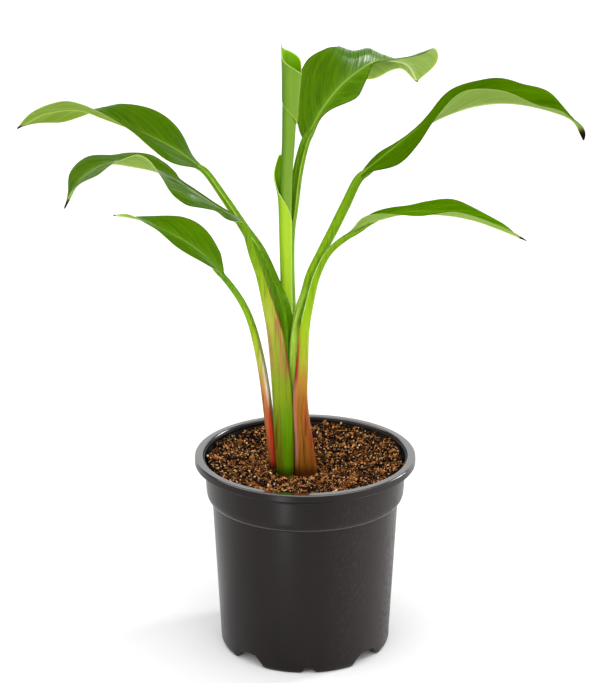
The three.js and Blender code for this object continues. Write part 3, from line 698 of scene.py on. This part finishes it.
def smooth_row(rows, places, column):
    """Smooth values from given rows of place and values: a cubic with the rows' own mean slopes."""
    rows = np.array(rows, float)
    x, y = rows[:, 0], rows[:, column]
    after = np.minimum(np.arange(len(x)) + 1, len(x) - 1)
    before = np.maximum(np.arange(len(x)) - 1, 0)
    slope = (y[after] - y[before]) / (x[after] - x[before])
    i = np.clip(np.searchsorted(x, places, side="right") - 1, 0, len(x) - 2)
    span = x[i + 1] - x[i]
    t = (np.asarray(places) - x[i]) / span
    rest = 1 - t
    bend = (slope[i] * rest - slope[i + 1] * t) * t * rest * span
    return y[i] * (1 + 2 * t) * rest ** 2 + y[i + 1] * (3 - 2 * t) * t ** 2 + bend


def unit(vectors):
    return vectors / np.linalg.norm(vectors, axis=-1, keepdims=True)


def leaf_frames(heading, tangents):
    """The right-hand side of a leaf and the direction off its upper face, along its tangents."""
    turn = math.radians(heading)
    side = np.array((math.sin(turn), -math.cos(turn), 0))
    right = unit(side - (tangents @ side)[:, None] * tangents)
    return right, np.cross(right, tangents)


def rib_line(leaf, places):
    """Points of a leaf's rib at shares of its length, the right and the upper side there, and its length."""
    turn = math.radians(leaf["heading"])
    x, y = leaf["start"]
    points = [(x + r * math.cos(turn), y + r * math.sin(turn), height) for r, height in leaf["rib"]]
    curve = spline(points, RIB_STEPS)
    travel = np.concatenate([[0], np.cumsum(np.linalg.norm(np.diff(curve, axis=0), axis=1))])
    rib = np.stack([np.interp(places * travel[-1], travel, curve[:, k]) for k in range(3)], 1)
    right, up = leaf_frames(leaf["heading"], unit(np.gradient(rib, axis=0)))
    return rib, right, up, travel[-1]


def skinned(name, rings, faces, values, finishes, finish_of):
    """A smooth piece of rings of points, with named values on its points and a finish for each face."""
    mesh = bpy.data.meshes.new(name)
    mesh.from_pydata((rings.reshape(-1, 3) * MM).tolist(), [], faces.tolist())
    for label, value in values.items():
        data = np.broadcast_to(value, rings.shape[:2]).astype(np.float32).ravel()
        mesh.attributes.new(label, "FLOAT", "POINT").data.foreach_set("value", data)
    for finish in finishes:
        mesh.materials.append(finish)
    mesh.polygons.foreach_set("material_index", finish_of.astype(np.int32))
    mesh.shade_smooth()
    return new_object(name, mesh)


def loft(name, rings, values, finishes, finish_of=0):
    """A closed piece through rings of points, with a finish for each strip along it."""
    count, around = rings.shape[:2]
    index = np.arange(count * around).reshape(count, around)
    after = np.roll(index, -1, axis=1)
    sides = np.stack([index[:-1], after[:-1], after[1:], index[1:]], -1).reshape(-1, 4)
    half = np.arange(around // 2 - 1)
    caps = []
    for ring, turned in ((index[0], False), (index[-1], True)):
        cap = np.stack([ring[::-1][half], ring[::-1][half + 1], ring[half + 1], ring[half]], 1)
        caps.append(cap[:, ::-1] if turned else cap)
    strips = np.tile(np.broadcast_to(finish_of, around), count - 1)
    of_faces = np.concatenate([strips, np.zeros(2 * len(half), int)])
    return skinned(name, rings, np.vstack([sides, *caps]), values, finishes, of_faces)


def attribute(tree, name):
    return add_node(tree, "ShaderNodeAttribute", attribute_name=name).outputs["Fac"]


def ramp(tree, value, stops):
    """A colour from stops of place and tone, places from 0 to 1."""
    node = add_node(tree, "ShaderNodeValToRGB", {"Fac": value})
    elements = node.color_ramp.elements
    for place, shade in stops[1:-1]:
        elements.new(place)
    for element, (place, shade) in zip(elements, stops):
        element.position = place
        element.color = tone(*shade)
    return node.outputs["Color"]


# Skin: scales of the wavering of its tones, of its streaks and of its fibres. A tint fades over these lengths
# at its foot and top, and a painted shade darkens the skin next to the soil from one height down to the
# other.
STALK_WAVER = 90.0
STALK_STREAKS = 520.0
STALK_FIBRES = 900.0
FIBRE_DEPTH = 0.12 * MM
TINT_FOOT_FADE = 6
TINT_TOP_FADE = 12
STALK_FOOT_SHADE = (117, 110)


def stalk_skin(name, stops, tints):
    """Skin of a stalk: tones by height, long fibres, a painted shade at its foot, and tints along parts of
    its round.
    """
    material, tree, surface, place = new_material(name, Specular_IOR_Level=0.1)
    height = xyz(tree, place)["Z"]
    low, high = stops[0][0], stops[-1][0]
    waver = evenly(tree, mottle(tree, place, STALK_WAVER, stretch=3.0), 0.0, 1.0, -0.025, 0.025)
    share = maths(tree, "ADD", evenly(tree, height, low * MM, high * MM), waver)
    colour = ramp(tree, share, [((z - low) / (high - low), shade) for z, shade in stops])
    streaks = mottle(tree, place, STALK_STREAKS, stretch=16.0, contrast=4.0)
    for shade, side, middle, half, foot, top, streaky in tints:
        off = maths(tree, "ABSOLUTE", maths(tree, "SUBTRACT", attribute(tree, side), middle))
        mask = times(
            tree, between(tree, off, half, 0.3 * half),
            over_mm(tree, height, foot - TINT_FOOT_FADE, foot + TINT_FOOT_FADE),
            over_mm(tree, height, top + TINT_TOP_FADE, top - TINT_TOP_FADE),
            between(tree, streaks, 0.25, 0.75, 1 - streaky, 1.0),
        )
        colour = blend_tones(tree, mask, colour, shade)
    fibres = mottle(tree, place, STALK_FIBRES, stretch=24.0, contrast=2.6)
    darker = between(tree, fibres, 0.4, 1.0, 0.0, 0.8)
    colour = blend_tones(tree, darker, colour, (196, 196, 170), how="MULTIPLY")
    # Painted shade: the skin darkens towards the soil.
    foot_shade = over_mm(tree, height, *STALK_FOOT_SHADE, 0.0, 0.75)
    colour = blend_tones(tree, foot_shade, colour, (110, 84, 60), how="MULTIPLY")
    feed(tree, surface, Base_Color=colour, Roughness=evenly(tree, fibres, 0.0, 1.0, 0.34, 0.5))
    bump(tree, surface, fibres, FIBRE_DEPTH)
    return material


# Tones of each stalk, in two lists. Stops: height, tone. Tints: tone, the way round the stalk that places it,
# its middle and half breadth that way, its foot and top, and how streaky it is.
STALK_TONES = {
    "top": ([
        (110, (126, 170, 40)), (200, (128, 174, 16)), (250, (114, 160, 8)), (305, (96, 138, 6)),
        (330, (100, 146, 14)),
    ], [
        ((100, 142, 4), "inner", 0.9, 0.55, 196, 306, 0.3),
        ((176, 206, 80), "edgewise", 0.8, 0.16, 200, 306, 0.3),
    ]),
    "upper_left": ([
        (110, (96, 140, 34)), (180, (82, 138, 2)), (225, (96, 140, 2)), (255, (106, 146, 6)),
        (305, (108, 150, 24)),
    ], [
        ((124, 164, 14), "inner", -0.9, 0.5, 190, 285, 0.4),
        ((82, 128, 0), "inner", 0.1, 0.35, 212, 290, 0.2),
        # Painted highlight: a pale line along the groove.
        ((178, 208, 74), "inner", 0.38, 0.22, 242, 288, 0.2),
    ]),
    "upper_right": ([
        (110, (116, 160, 26)), (150, (128, 176, 20)), (185, (164, 200, 66)), (205, (170, 204, 74)),
        (225, (136, 178, 14)), (285, (110, 152, 8)), (315, (100, 146, 16)),
    ], [
        ((170, 200, 84), "inner", 0.75, 0.5, 168, 216, 0.3),
        ((88, 136, 2), "inner", -0.45, 0.6, 198, 250, 0.3),
    ]),
    "middle_left": ([
        (110, (70, 88, 0)), (118, (88, 114, 0)), (138, (112, 142, 4)), (156, (126, 148, 16)),
        (172, (130, 148, 28)), (190, (146, 158, 42)), (206, (166, 178, 60)), (222, (148, 178, 30)),
        (243, (112, 152, 8)), (292, (100, 142, 18)),
    ], [
        ((96, 144, 2), "inner", -0.1, 0.75, 108, 150, 0.35),
        ((106, 88, 16), "inner", -0.95, 0.6, 112, 146, 0.6),
        ((168, 120, 66), "inner", 0.1, 0.75, 172, 214, 0.75),
        ((128, 62, 36), "inner", 0.45, 0.4, 172, 236, 0.35),
        ((168, 122, 70), "inner", -1.0, 0.35, 176, 200, 0.6),
    ]),
    "lower_right": ([
        (110, (112, 66, 18)), (122, (154, 94, 26)), (140, (166, 102, 32)), (156, (170, 106, 36)),
        (168, (174, 132, 42)), (180, (166, 172, 44)), (196, (154, 186, 24)), (215, (136, 178, 10)),
        (255, (108, 150, 8)), (272, (110, 152, 18)),
    ], [
        ((180, 116, 106), "inner", 0.35, 0.45, 118, 178, 0.6),
        ((118, 68, 20), "inner", -0.5, 0.4, 106, 156, 0.95),
        ((150, 40, 34), "inner", 0.25, 0.5, 166, 196, 0.25),
        ((206, 226, 140), "inner", 0.4, 0.35, 206, 244, 0.2),
        ((150, 50, 30), "inner", -0.85, 0.25, 116, 150, 0.6),
    ]),
    "lower_left": ([
        (110, (118, 44, 32)), (122, (178, 82, 48)), (140, (202, 114, 64)), (152, (206, 132, 72)),
        (164, (200, 158, 76)), (176, (180, 188, 58)), (190, (152, 182, 20)), (205, (124, 168, 8)),
        (226, (98, 144, 4)), (250, (96, 142, 12)),
    ], [
        # The whitish pink wing: its own pale tone, lightened almost to white as painted light shining through
        # it.
        ((255, 236, 220), "inner", 0.4, 0.65, 150, 176, 0.2),
        ((210, 58, 36), "inner", 0.15, 0.65, 112, 150, 0.3),
        ((150, 92, 40), "inner", -0.85, 0.55, 112, 168, 0.6),
    ]),
}


def stalk_piece(name, heading, rows, skin):
    centres = spline([row[:3] for row in rows], STALK_STEPS)
    tangents = unit(np.gradient(centres, axis=0))
    tangents[0] = (0, 0, 1)
    right, up = leaf_frames(heading, tangents)
    places = np.linspace(0, len(rows) - 1, len(centres))
    sizes = [(i, row[3], row[4]) for i, row in enumerate(rows)]
    depth = smooth_row(sizes, places, 1)[:, None]
    breadth = smooth_row(sizes, places, 2)[:, None]
    angle = (np.arange(STALK_SIDES) + 0.5) / STALK_SIDES * 2 * math.pi
    edgewise, inner = -np.cos(angle), np.sin(angle)
    outer = 2 * depth / (1 + CHANNEL)
    off = np.where(inner > 0, np.abs(inner) ** 0.5 * CHANNEL, inner) * outer + outer - depth
    groove = np.where(inner > 0, np.exp(-(edgewise / GROOVE_HALF) ** 2), 0) * GROOVE
    off = off - groove * depth * np.clip((places - GROOVE_FROM) / GROOVE_GROWS, 0, 1)[:, None]
    rings = centres[:, None] + right[:, None] * (edgewise * breadth)[..., None] + up[:, None] * off[..., None]
    return loft(name, rings, {"edgewise": edgewise, "inner": inner}, [skin])


for label, leaf in LEAVES.items():
    close = np.linspace(0, RUN_END, RUN_STEPS)
    rib, right, up, length = rib_line(leaf, close)
    rows = list(leaf["stalk"])
    last = len(rows) - 1
    for share, depth, breadth, drop in STALK_RUN:
        i = int(np.abs(close - share).argmin())
        rows.append((*(rib[i] - drop * up[i]), depth * rows[last][3], breadth * rows[last][4]))
    skin = stalk_skin(label.replace("_", " ") + " stalk skin", *STALK_TONES[label])
    piece = stalk_piece("leaf_stalk_" + label, leaf["heading"], rows, skin)
    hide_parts("stalk_" + label)
    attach(piece, "root")


# Blades: one thin waxy sheet each, folded and twisted about a midrib that runs on from the stalk and stands
# out as a keel below. Fine veins leave the midrib at a narrow angle; some tips have dried black.
BLADE_ROWS = 190
BLADE_COLUMNS = np.array([
    0, 0.03, 0.07, 0.12, 0.18, 0.24, 0.3, 0.36, 0.42, 0.49, 0.56, 0.63, 0.7, 0.77, 0.84, 0.91, 0.965, 1,
])
BLADE_END = 0.998
BLADE_BOW = -16
BLADE_THICKNESS = 0.45
BLADE_SINK = 0.9
BLADE_SINK_END = 0.05
CURL_START = 0.1
CURL_END = 0.6
NO_CURL = [(0, 0, 0), (1, 0, 0)]
# At the blade's start and end: the least half width, the depth and half breadth of the midrib's keel.
BLADE_LEAST = (2.0, 0.35)
RIB_DEPTH = (1.5, 0.35)
RIB_HALF = (1.5, 0.6)
# The keel starts at a share of the length and is full so much further on. The valley: depth, half breadth.
KEEL_FROM = 0.06
KEEL_GROWS = 0.16
RIB_VALLEY = (0.3, 0.8)
# Relief across the veins: distance between ridges along the blade, height.
VEIN_RELIEF = [(9.0, 0.05), (31.0, 0.16)]
# How far in from the edge the blade thins, and the relief fades from the edge and from the midrib.
EDGE_THINS = 4
RELIEF_FADES = (3, 4)
# How the veins bend outwards, and how far a degree of heading shifts the streaks, so no two blades match.
VEIN_BEND = (0.7, 0.6)
STREAK_SHIFT = 10
GLEAM_FADE = 15
# Streaks along the veins: how fast they change from vein to vein and across the blade.
VEIN_STREAKS = {"Broad": (0.16, 0.05), "Fine": (0.8, 0.1)}
VEIN_DEPTH = 0.14 * MM
BLADE_PATCHES = 36.0
# Tones of the upper and under face: dark and light green, midrib, edge.
FACE_TONES = [
    [(44, 86, 0), (92, 134, 2), (136, 172, 56), (40, 64, 6)],
    [(118, 152, 46), (152, 180, 88), (198, 216, 136), (180, 204, 112)],
]
WITHERED = (104, 92, 30)
BLACKENED = (20, 15, 12)
UNDER_WAX = (0.5, 0.03)


def vein_group():
    """Streaks along the slanting veins of a blade: a broad and a fine mask from 0 to 1."""
    takes, gives = {"Vein": "Float", "Across": "Float"}, {label: "Float" for label in VEIN_STREAKS}
    tree, inputs, result = new_tree("leaf veins", "Shader", takes, gives)
    for label, (by_vein, by_across) in VEIN_STREAKS.items():
        x = times(tree, inputs["Vein"], by_vein)
        place = vector(tree, X=x, Y=times(tree, inputs["Across"], by_across))
        noise = first(tree, "ShaderNodeTexNoise", {"Vector": place, "Scale": 1.0, "Detail": 2.0})
        tree.links.new(between(tree, noise, 0.28, 0.72), result[label])
    return tree


VEINS = vein_group()


def blade_face(name, dark, light, rib, edge, rough, gloss, gleam=(0, 1, 0, 0)):
    """One face of a blade: green streaked along its veins, a pale midrib, an edge, a dried tip, a gleam."""
    material, tree, surface, place = new_material(
        name, Specular_IOR_Level=gloss, Coat_Roughness=0.28, Coat_IOR=1.6, Subsurface_Weight=0.3,
        Subsurface_Radius=(1.0, 1.0, 0.2), Subsurface_Scale=1.5 * MM,
    )
    vein, across, along, from_edge, dry = (
        attribute(tree, label) for label in ("vein", "across", "along", "edge", "dry")
    )
    veins = add_node(tree, "ShaderNodeGroup", {"Vein": vein, "Across": across}, node_tree=VEINS)
    broad, fine = veins.outputs["Broad"], veins.outputs["Fine"]
    from_rib = maths(tree, "ABSOLUTE", across)
    streaked = maths(tree, "ADD", times(tree, broad, 0.25), times(tree, fine, 0.45))
    streaked = maths(tree, "ADD", streaked, times(tree, mottle(tree, place, BLADE_PATCHES), 0.3))
    ragged = maths(tree, "ADD", dry, evenly(tree, fine, 0.0, 1.0, -0.08, 0.08))
    colour = blend_tones(tree, streaked, dark, light)
    colour = blend_tones(tree, between(tree, from_rib, 0.25, 0.8, 0.8, 0.0), colour, rib)
    colour = blend_tones(tree, between(tree, from_rib, 0.0, 4.0, 0.2, 0.0), colour, rib)
    colour = blend_tones(tree, between(tree, from_edge, 0.3, 0.9, 0.75, 0.0), colour, edge)
    colour = blend_tones(tree, between(tree, ragged, 0.38, 0.6), colour, WITHERED)
    colour = blend_tones(tree, between(tree, ragged, 0.5, 0.68), colour, BLACKENED)
    middle, half, weight, start = gleam
    beside = maths(tree, "ABSOLUTE", maths(tree, "SUBTRACT", across, middle))
    polished = times(
        tree, between(tree, beside, half, 0.4 * half, 0.0, weight),
        between(tree, along, start - GLEAM_FADE, start), between(tree, fine, 0.2, 0.8, 0.1, 1.0),
    )
    sheen = evenly(tree, fine, 0.0, 1.0, rough + 0.05, rough - 0.05)
    feed(tree, surface, Base_Color=colour, Roughness=sheen, Coat_Weight=polished)
    bump(tree, surface, fine, VEIN_DEPTH)
    return material


def tapered(ends, u):
    """A size between its values at the blade's start and end."""
    return ends[0] + (ends[1] - ends[0]) * u


def blade_piece(name, leaf):
    u = np.linspace(0, BLADE_END, BLADE_ROWS + 1)
    rib, right, up, length = rib_line(leaf, u)
    widest = leaf["rise"] / (leaf["rise"] + leaf["fall"])
    law = leaf["half_width"] * (u / widest) ** leaf["rise"] * ((1 - u) / (1 - widest)) ** leaf["fall"]
    s = BLADE_COLUMNS
    middle, step = (s[1:] + s[:-1]) / 2, np.diff(s)
    t = np.clip((middle - CURL_START) / (CURL_END - CURL_START), 0, 1)
    curled = t * t * (3 - 2 * t)
    halves, widths = [], []
    for column, side in ((1, -1), (2, 1)):
        width = np.maximum(law * smooth_row(leaf["share"], u, column), tapered(BLADE_LEAST, u))
        curl = smooth_row(leaf.get("curl", NO_CURL), u, column)[:, None] * curled
        tilt = np.radians(smooth_row(leaf["tilt"], u, column)[:, None] + BLADE_BOW * (middle - 0.5) + curl)
        over = side * np.cumsum(np.cos(tilt) * step, axis=1) * width[:, None]
        rise = np.cumsum(np.sin(tilt) * step, axis=1) * width[:, None]
        halves.append(rib[:, None] + right[:, None] * over[..., None] + up[:, None] * rise[..., None])
        widths.append(width[:, None])
    sheet = np.concatenate([halves[0][:, ::-1], rib[:, None], halves[1]], axis=1)
    sunk = BLADE_SINK * np.clip(1 - u / BLADE_SINK_END, 0, 1) ** 2
    sheet = sheet - (up * sunk[:, None])[:, None]
    normal = unit(np.cross(np.gradient(sheet, axis=1), np.gradient(sheet, axis=0)))
    width = np.hstack([np.repeat(widths[0], len(s) - 1, 1), np.repeat(widths[1], len(s), 1)])
    across = np.concatenate([-s[:0:-1], s]) * width
    from_rib = np.abs(across)
    from_edge = width - from_rib
    along = np.broadcast_to(u[:, None] * length, across.shape)
    vein = along - leaf["slant"] * from_rib * (VEIN_BEND[0] + VEIN_BEND[1] * from_rib / width)
    taper = u[:, None]
    keel = np.exp(-(from_rib / tapered(RIB_HALF, taper)) ** 2) * tapered(RIB_DEPTH, taper)
    keel = keel * np.clip((taper - KEEL_FROM) / KEEL_GROWS, 0, 1)
    thin = BLADE_THICKNESS * (0.5 + 0.5 * np.clip(from_edge / EDGE_THINS, 0, 1)) / 2
    ridge = sum(height * np.sin(2 * math.pi * vein / apart) for apart, height in VEIN_RELIEF)
    ridge = ridge * np.clip(from_edge / RELIEF_FADES[0], 0, 1) * np.clip(from_rib / RELIEF_FADES[1], 0, 1)
    valley = RIB_VALLEY[0] * np.exp(-(from_rib / RIB_VALLEY[1]) ** 2) * (1 - 0.6 * taper)
    upper = sheet + normal * (thin + ridge - valley)[..., None]
    lower = sheet - normal * (thin - ridge + keel)[..., None]
    rings = np.concatenate([upper, lower[:, ::-1]], axis=1)
    dry = np.broadcast_to(np.clip(1 - (1 - taper) * length / (2 * leaf["dry"]), 0, 1), across.shape)
    values = {
        "vein": vein + STREAK_SHIFT * leaf["heading"], "across": across, "along": along, "edge": from_edge,
        "dry": dry,
    }
    values = {label: np.concatenate([value, value[:, ::-1]], axis=1) for label, value in values.items()}
    upper_tones, under_tones = (
        [tuple(np.multiply(shade, green)) for shade in row] for row, green in zip(FACE_TONES, leaf["green"])
    )
    upper_face = blade_face(name + " upper face", *upper_tones, *leaf["wax"], leaf["gleam"])
    under_face = blade_face(name + " under face", *under_tones, *UNDER_WAX)
    return loft(name, rings, values, [upper_face, under_face], np.repeat([0, 1], sheet.shape[1]))


for label, leaf in LEAVES.items():
    piece = blade_piece("leaf_blade_" + label, leaf)
    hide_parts("blade_" + label)
    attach(piece, "root")


# Youngest leaf: a stalk that is still a closed tube, with a slanting mouth and a lobe on its left, and in it
# the rolled blade, wrapped once more near the top, where the roll opens like a funnel up to its tip.
SPEAR_SIDES = 96
SPEAR_WALL = 0.45
# Lines of the three rolls: x, y, height, radius.
SPEAR_STALK = [
    (-9.6, 7, FOOT, 2.9), (-10, 7, 160, 3.0), (-10.6, 7, 205, 3.3), (-11.2, 7, 240, 3.6),
    (-11.4, 7, 268, 4.0), (-11.6, 7, 285, 4.4), (-11.4, 7, 300, 4.2),
]
SPEAR_CORE = [
    (-10.9, 7, 230, 2.9), (-11.1, 7, 268, 3.3), (-10.5, 7, 290, 3.5), (-9.6, 7, 305, 3.7),
    (-9, 7, 322, 4.1), (-8.6, 7, 332, 4.2),
]
SPEAR_WRAP = [
    (-9.2, 7, 306, 4.2), (-8.9, 7, 316, 4.5), (-8.3, 7, 330, 5.0), (-7.8, 7, 342, 5.5),
    (-7.7, 7, 352, 5.8), (-7.9, 7, 363, 5.9),
]
# Edges of the rolls by angle: 180 is left, 270 the front, 360 the right, 450 the back. Angle, height.
SPEAR_MOUTH = [
    (180, 276.5), (225, 275), (270, 270.5), (315, 264), (360, 258), (400, 261), (440, 284), (470, 295),
    (500, 297), (520, 293), (532, 284.5), (540, 276.5),
]
WRAP_FOOT = [(180, 329.5), (225, 326.2), (270, 322.6), (315, 318.8), (360, 315.4), (450, 322), (540, 329.5)]
WRAP_TOP = [
    (180, 362.4), (186, 357.4), (200, 354.2), (225, 352), (270, 349.2), (315, 346.3), (352, 344.4),
    (362, 344.6), (376, 349.4), (400, 352.4), (450, 355.6), (500, 358), (528, 360), (540, 362.4),
]
CORE_FOOT = 232.0
CORE_TOP = 331.0
SHEATH_STEPS = 110
CORE_STEPS = 40
WRAP_STEPS = 36
# The lobe of the mouth: middle and spread of its angle, how far it stands out, middle and half of its height.
SPEAR_LOBE = (512, 32, 2.7, 285, 8.5)
# Faces: scales of the upright veins and of the patches, the angle where a painted highlight makes a roll
# palest, the heights over which its tip changes its green, and the tone along the veins.
ROLL_VEINS = 700.0
ROLL_PATCHES = 60.0
ROLL_PAINTED_LIT = 312
ROLL_TIP = (338, 356)
ROLL_VEIN_TONE = (84, 138, 24)
ROLL_VEIN_DEPTH = 0.08 * MM


def rolled_face(name, dark, light, edge, tip):
    """Face of a roll: waxy green with upright veins, a painted highlight down one side, a thin pale edge and
    another green towards the tip.
    """
    material, tree, surface, place = new_material(name, Specular_IOR_Level=0.12)
    height = xyz(tree, place)["Z"]
    veins = mottle(tree, place, ROLL_VEINS, stretch=26.0, contrast=2.6)
    patches = mottle(tree, place, ROLL_PATCHES, stretch=2.0)
    # Painted highlight: each roll is made lighter towards one side of its round.
    lit_side = between(tree, attribute(tree, "round"), -0.5, 0.95, 0.0, 0.75)
    colour = blend_tones(tree, maths(tree, "ADD", lit_side, times(tree, patches, 0.25)), dark, light)
    colour = blend_tones(tree, over_mm(tree, height, *ROLL_TIP, 0.0, 0.8), colour, tip)
    colour = blend_tones(tree, between(tree, veins, 0.5, 1.0, 0.0, 0.4), colour, ROLL_VEIN_TONE)
    colour = blend_tones(tree, between(tree, attribute(tree, "edge"), 0.2, 0.7, 0.8, 0.0), colour, edge)
    feed(tree, surface, Base_Color=colour, Roughness=evenly(tree, veins, 0.0, 1.0, 0.36, 0.5))
    bump(tree, surface, veins, ROLL_VEIN_DEPTH)
    return material


def rolled_shell(name, rows, foot, top, finishes, steps, lobe=None):
    """A rolled sheet: a thin tube about the rows' line, from one slanting edge to the other."""
    angle = np.linspace(180, 540, SPEAR_SIDES, endpoint=False)
    low, high = (smooth_row(edge, angle, 1) if isinstance(edge, list) else edge for edge in (foot, top))
    share = np.linspace(0, 1, steps)[:, None]
    height = np.broadcast_to(low + (high - low) * share, (steps, SPEAR_SIDES))
    by_height = np.array(rows, float)[:, [2, 0, 1, 3]]
    x, y, radius = (smooth_row(by_height, height, column) for column in (1, 2, 3))
    if lobe:
        middle, spread, bulge, level, half = lobe
        radius = radius + bulge * np.exp(-((angle - middle) / spread) ** 2 - ((height - level) / half) ** 2)
    turn = np.radians(angle)
    shells = []
    for wall in (0, SPEAR_WALL):
        out = radius - wall
        shells.append(np.stack([x + out * np.cos(turn), y + out * np.sin(turn), height], -1))
    rings = np.concatenate([shells[0], shells[1][::-1]], axis=0)
    index = np.arange(2 * steps * SPEAR_SIDES).reshape(-1, SPEAR_SIDES)
    after = np.roll(index, -1, axis=1)
    above, above_after = np.roll(index, -1, axis=0), np.roll(after, -1, axis=0)
    faces = np.stack([index, after, above_after, above], -1).reshape(-1, 4)
    edge = np.minimum(height - low, high - height)
    values = {
        "edge": np.concatenate([edge, edge[::-1]], axis=0),
        "round": np.cos(turn - math.radians(ROLL_PAINTED_LIT)),
    }
    inside = np.repeat(np.arange(2 * steps) >= steps, SPEAR_SIDES)
    return skinned(name, rings, faces, values, finishes, inside)


rolled_outside = rolled_face(
    "rolled leaf outside", (66, 112, 4), (126, 162, 52), (176, 206, 92), (104, 142, 44),
)
# The inside's yellow-green is its own, made lighter still as painted light in the shaded hollow of the rolls.
rolled_inside = rolled_face(
    "rolled leaf inside", (124, 178, 4), (150, 198, 12), (190, 220, 80), (120, 174, 10),
)
sheath_outside = rolled_face(
    "young stalk outside", (122, 168, 2), (172, 206, 48), (206, 228, 124), (140, 188, 22),
)
sheath = rolled_shell(
    "young_stalk", SPEAR_STALK, FOOT, SPEAR_MOUTH, [sheath_outside, rolled_inside], SHEATH_STEPS, SPEAR_LOBE,
)
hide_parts("stalk_spear")
roll_faces = [rolled_outside, rolled_inside]
core = rolled_shell("rolled_core", SPEAR_CORE, CORE_FOOT, CORE_TOP, roll_faces, CORE_STEPS)
wrap = rolled_shell("rolled_wrap", SPEAR_WRAP, WRAP_FOOT, WRAP_TOP, roll_faces, WRAP_STEPS)
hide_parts("blade_spear")
for piece in (sheath, core, wrap):
    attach(piece, "root")


# Studio: a plain pale floor, a very soft light from above the camera's left with a weaker one from the right,
# a pale panel behind, a small one on the right, a strip low in front, and the camera of the photograph.
PHOTO_HIGH = 683
FOCAL_PIXELS = 2245.7
CAMERA_AT = (-3.03, -1229.5, 610.7)
CAMERA_PITCH = 71.044
FLOOR_REACH = 12
FLOOR_TONE = (0.92, 0.92, 0.92, 1)
SURROUNDINGS = 0.15
# Panels: place and the point each faces, breadth and height, all in metres, and power.
PANELS = {
    "back panel": ((0, 2.6, 0.9), (0, 0, 0.3), (5, 1.6), 24),
    "right panel": ((1.15, 0.5, 0.62), (0.03, 0.05, 0.31), (0.3, 0.7), 9),
    "front strip": ((-0.093, -0.237, 0.035), (-0.012, -0.054, 0.08), (0.035, 0.07), 0.065),
}
# Wide lights: the place each comes from and the point it faces, its spread in degrees, and power.
WIDE_LIGHTS = {
    "soft light": ((-0.25, -0.5, 1.2), (0, 0, 0.2), 120, 3.3),
    "fill light": ((1.0, -1.0, 0.7), (0, 0, 0.2), 100, 0.7),
}


def light_up(name, lamp, at, aim, power):
    """Hangs a lamp at a place, turned towards the point it faces."""
    lamp.energy = power
    light = new_object(name, lamp)
    away = np.array(at) - np.array(aim)
    pitch = math.atan2(math.hypot(away[0], away[1]), away[2])
    light.rotation_euler = (pitch, 0, math.atan2(away[1], away[0]) + math.pi / 2)
    light.location = at
    light.visible_camera = False


floor_mesh = bpy.data.meshes.new("floor")
floor_corners = [(x * FLOOR_REACH, y * FLOOR_REACH, 0) for x, y in ((-1, -1), (1, -1), (1, 1), (-1, 1))]
floor_mesh.from_pydata(floor_corners, [], [(0, 1, 2, 3)])
floor = new_object("floor", floor_mesh)
floor_paper = new_material("pale paper", Base_Color=FLOOR_TONE, Roughness=0.9, Specular_IOR_Level=0.1)
floor_mesh.materials.append(floor_paper[0])

for label, (at, aim, size, power) in PANELS.items():
    panel = bpy.data.lights.new(label, "AREA")
    panel.shape = "RECTANGLE"
    panel.size, panel.size_y = size
    light_up(label, panel, at, aim, power)
for label, (at, aim, spread, power) in WIDE_LIGHTS.items():
    wide_light = bpy.data.lights.new(label, "SUN")
    wide_light.angle = math.radians(spread)
    light_up(label, wide_light, at, aim, power)
world = bpy.data.worlds.new("studio")
world.use_nodes = True
surroundings = world.node_tree.nodes["Background"].inputs
surroundings["Color"].default_value = (1, 1, 1, 1)
surroundings["Strength"].default_value = SURROUNDINGS
bpy.context.scene.world = world
bpy.context.scene.view_settings.view_transform = "Standard"

lens = bpy.data.cameras.new("photograph")
lens.sensor_width = 36
lens.lens = FOCAL_PIXELS / PHOTO_HIGH * lens.sensor_width
camera = new_object("photograph", lens)
camera.location = [value * MM for value in CAMERA_AT]
camera.rotation_euler = (math.radians(CAMERA_PITCH), 0, 0)
bpy.context.scene.camera = camera
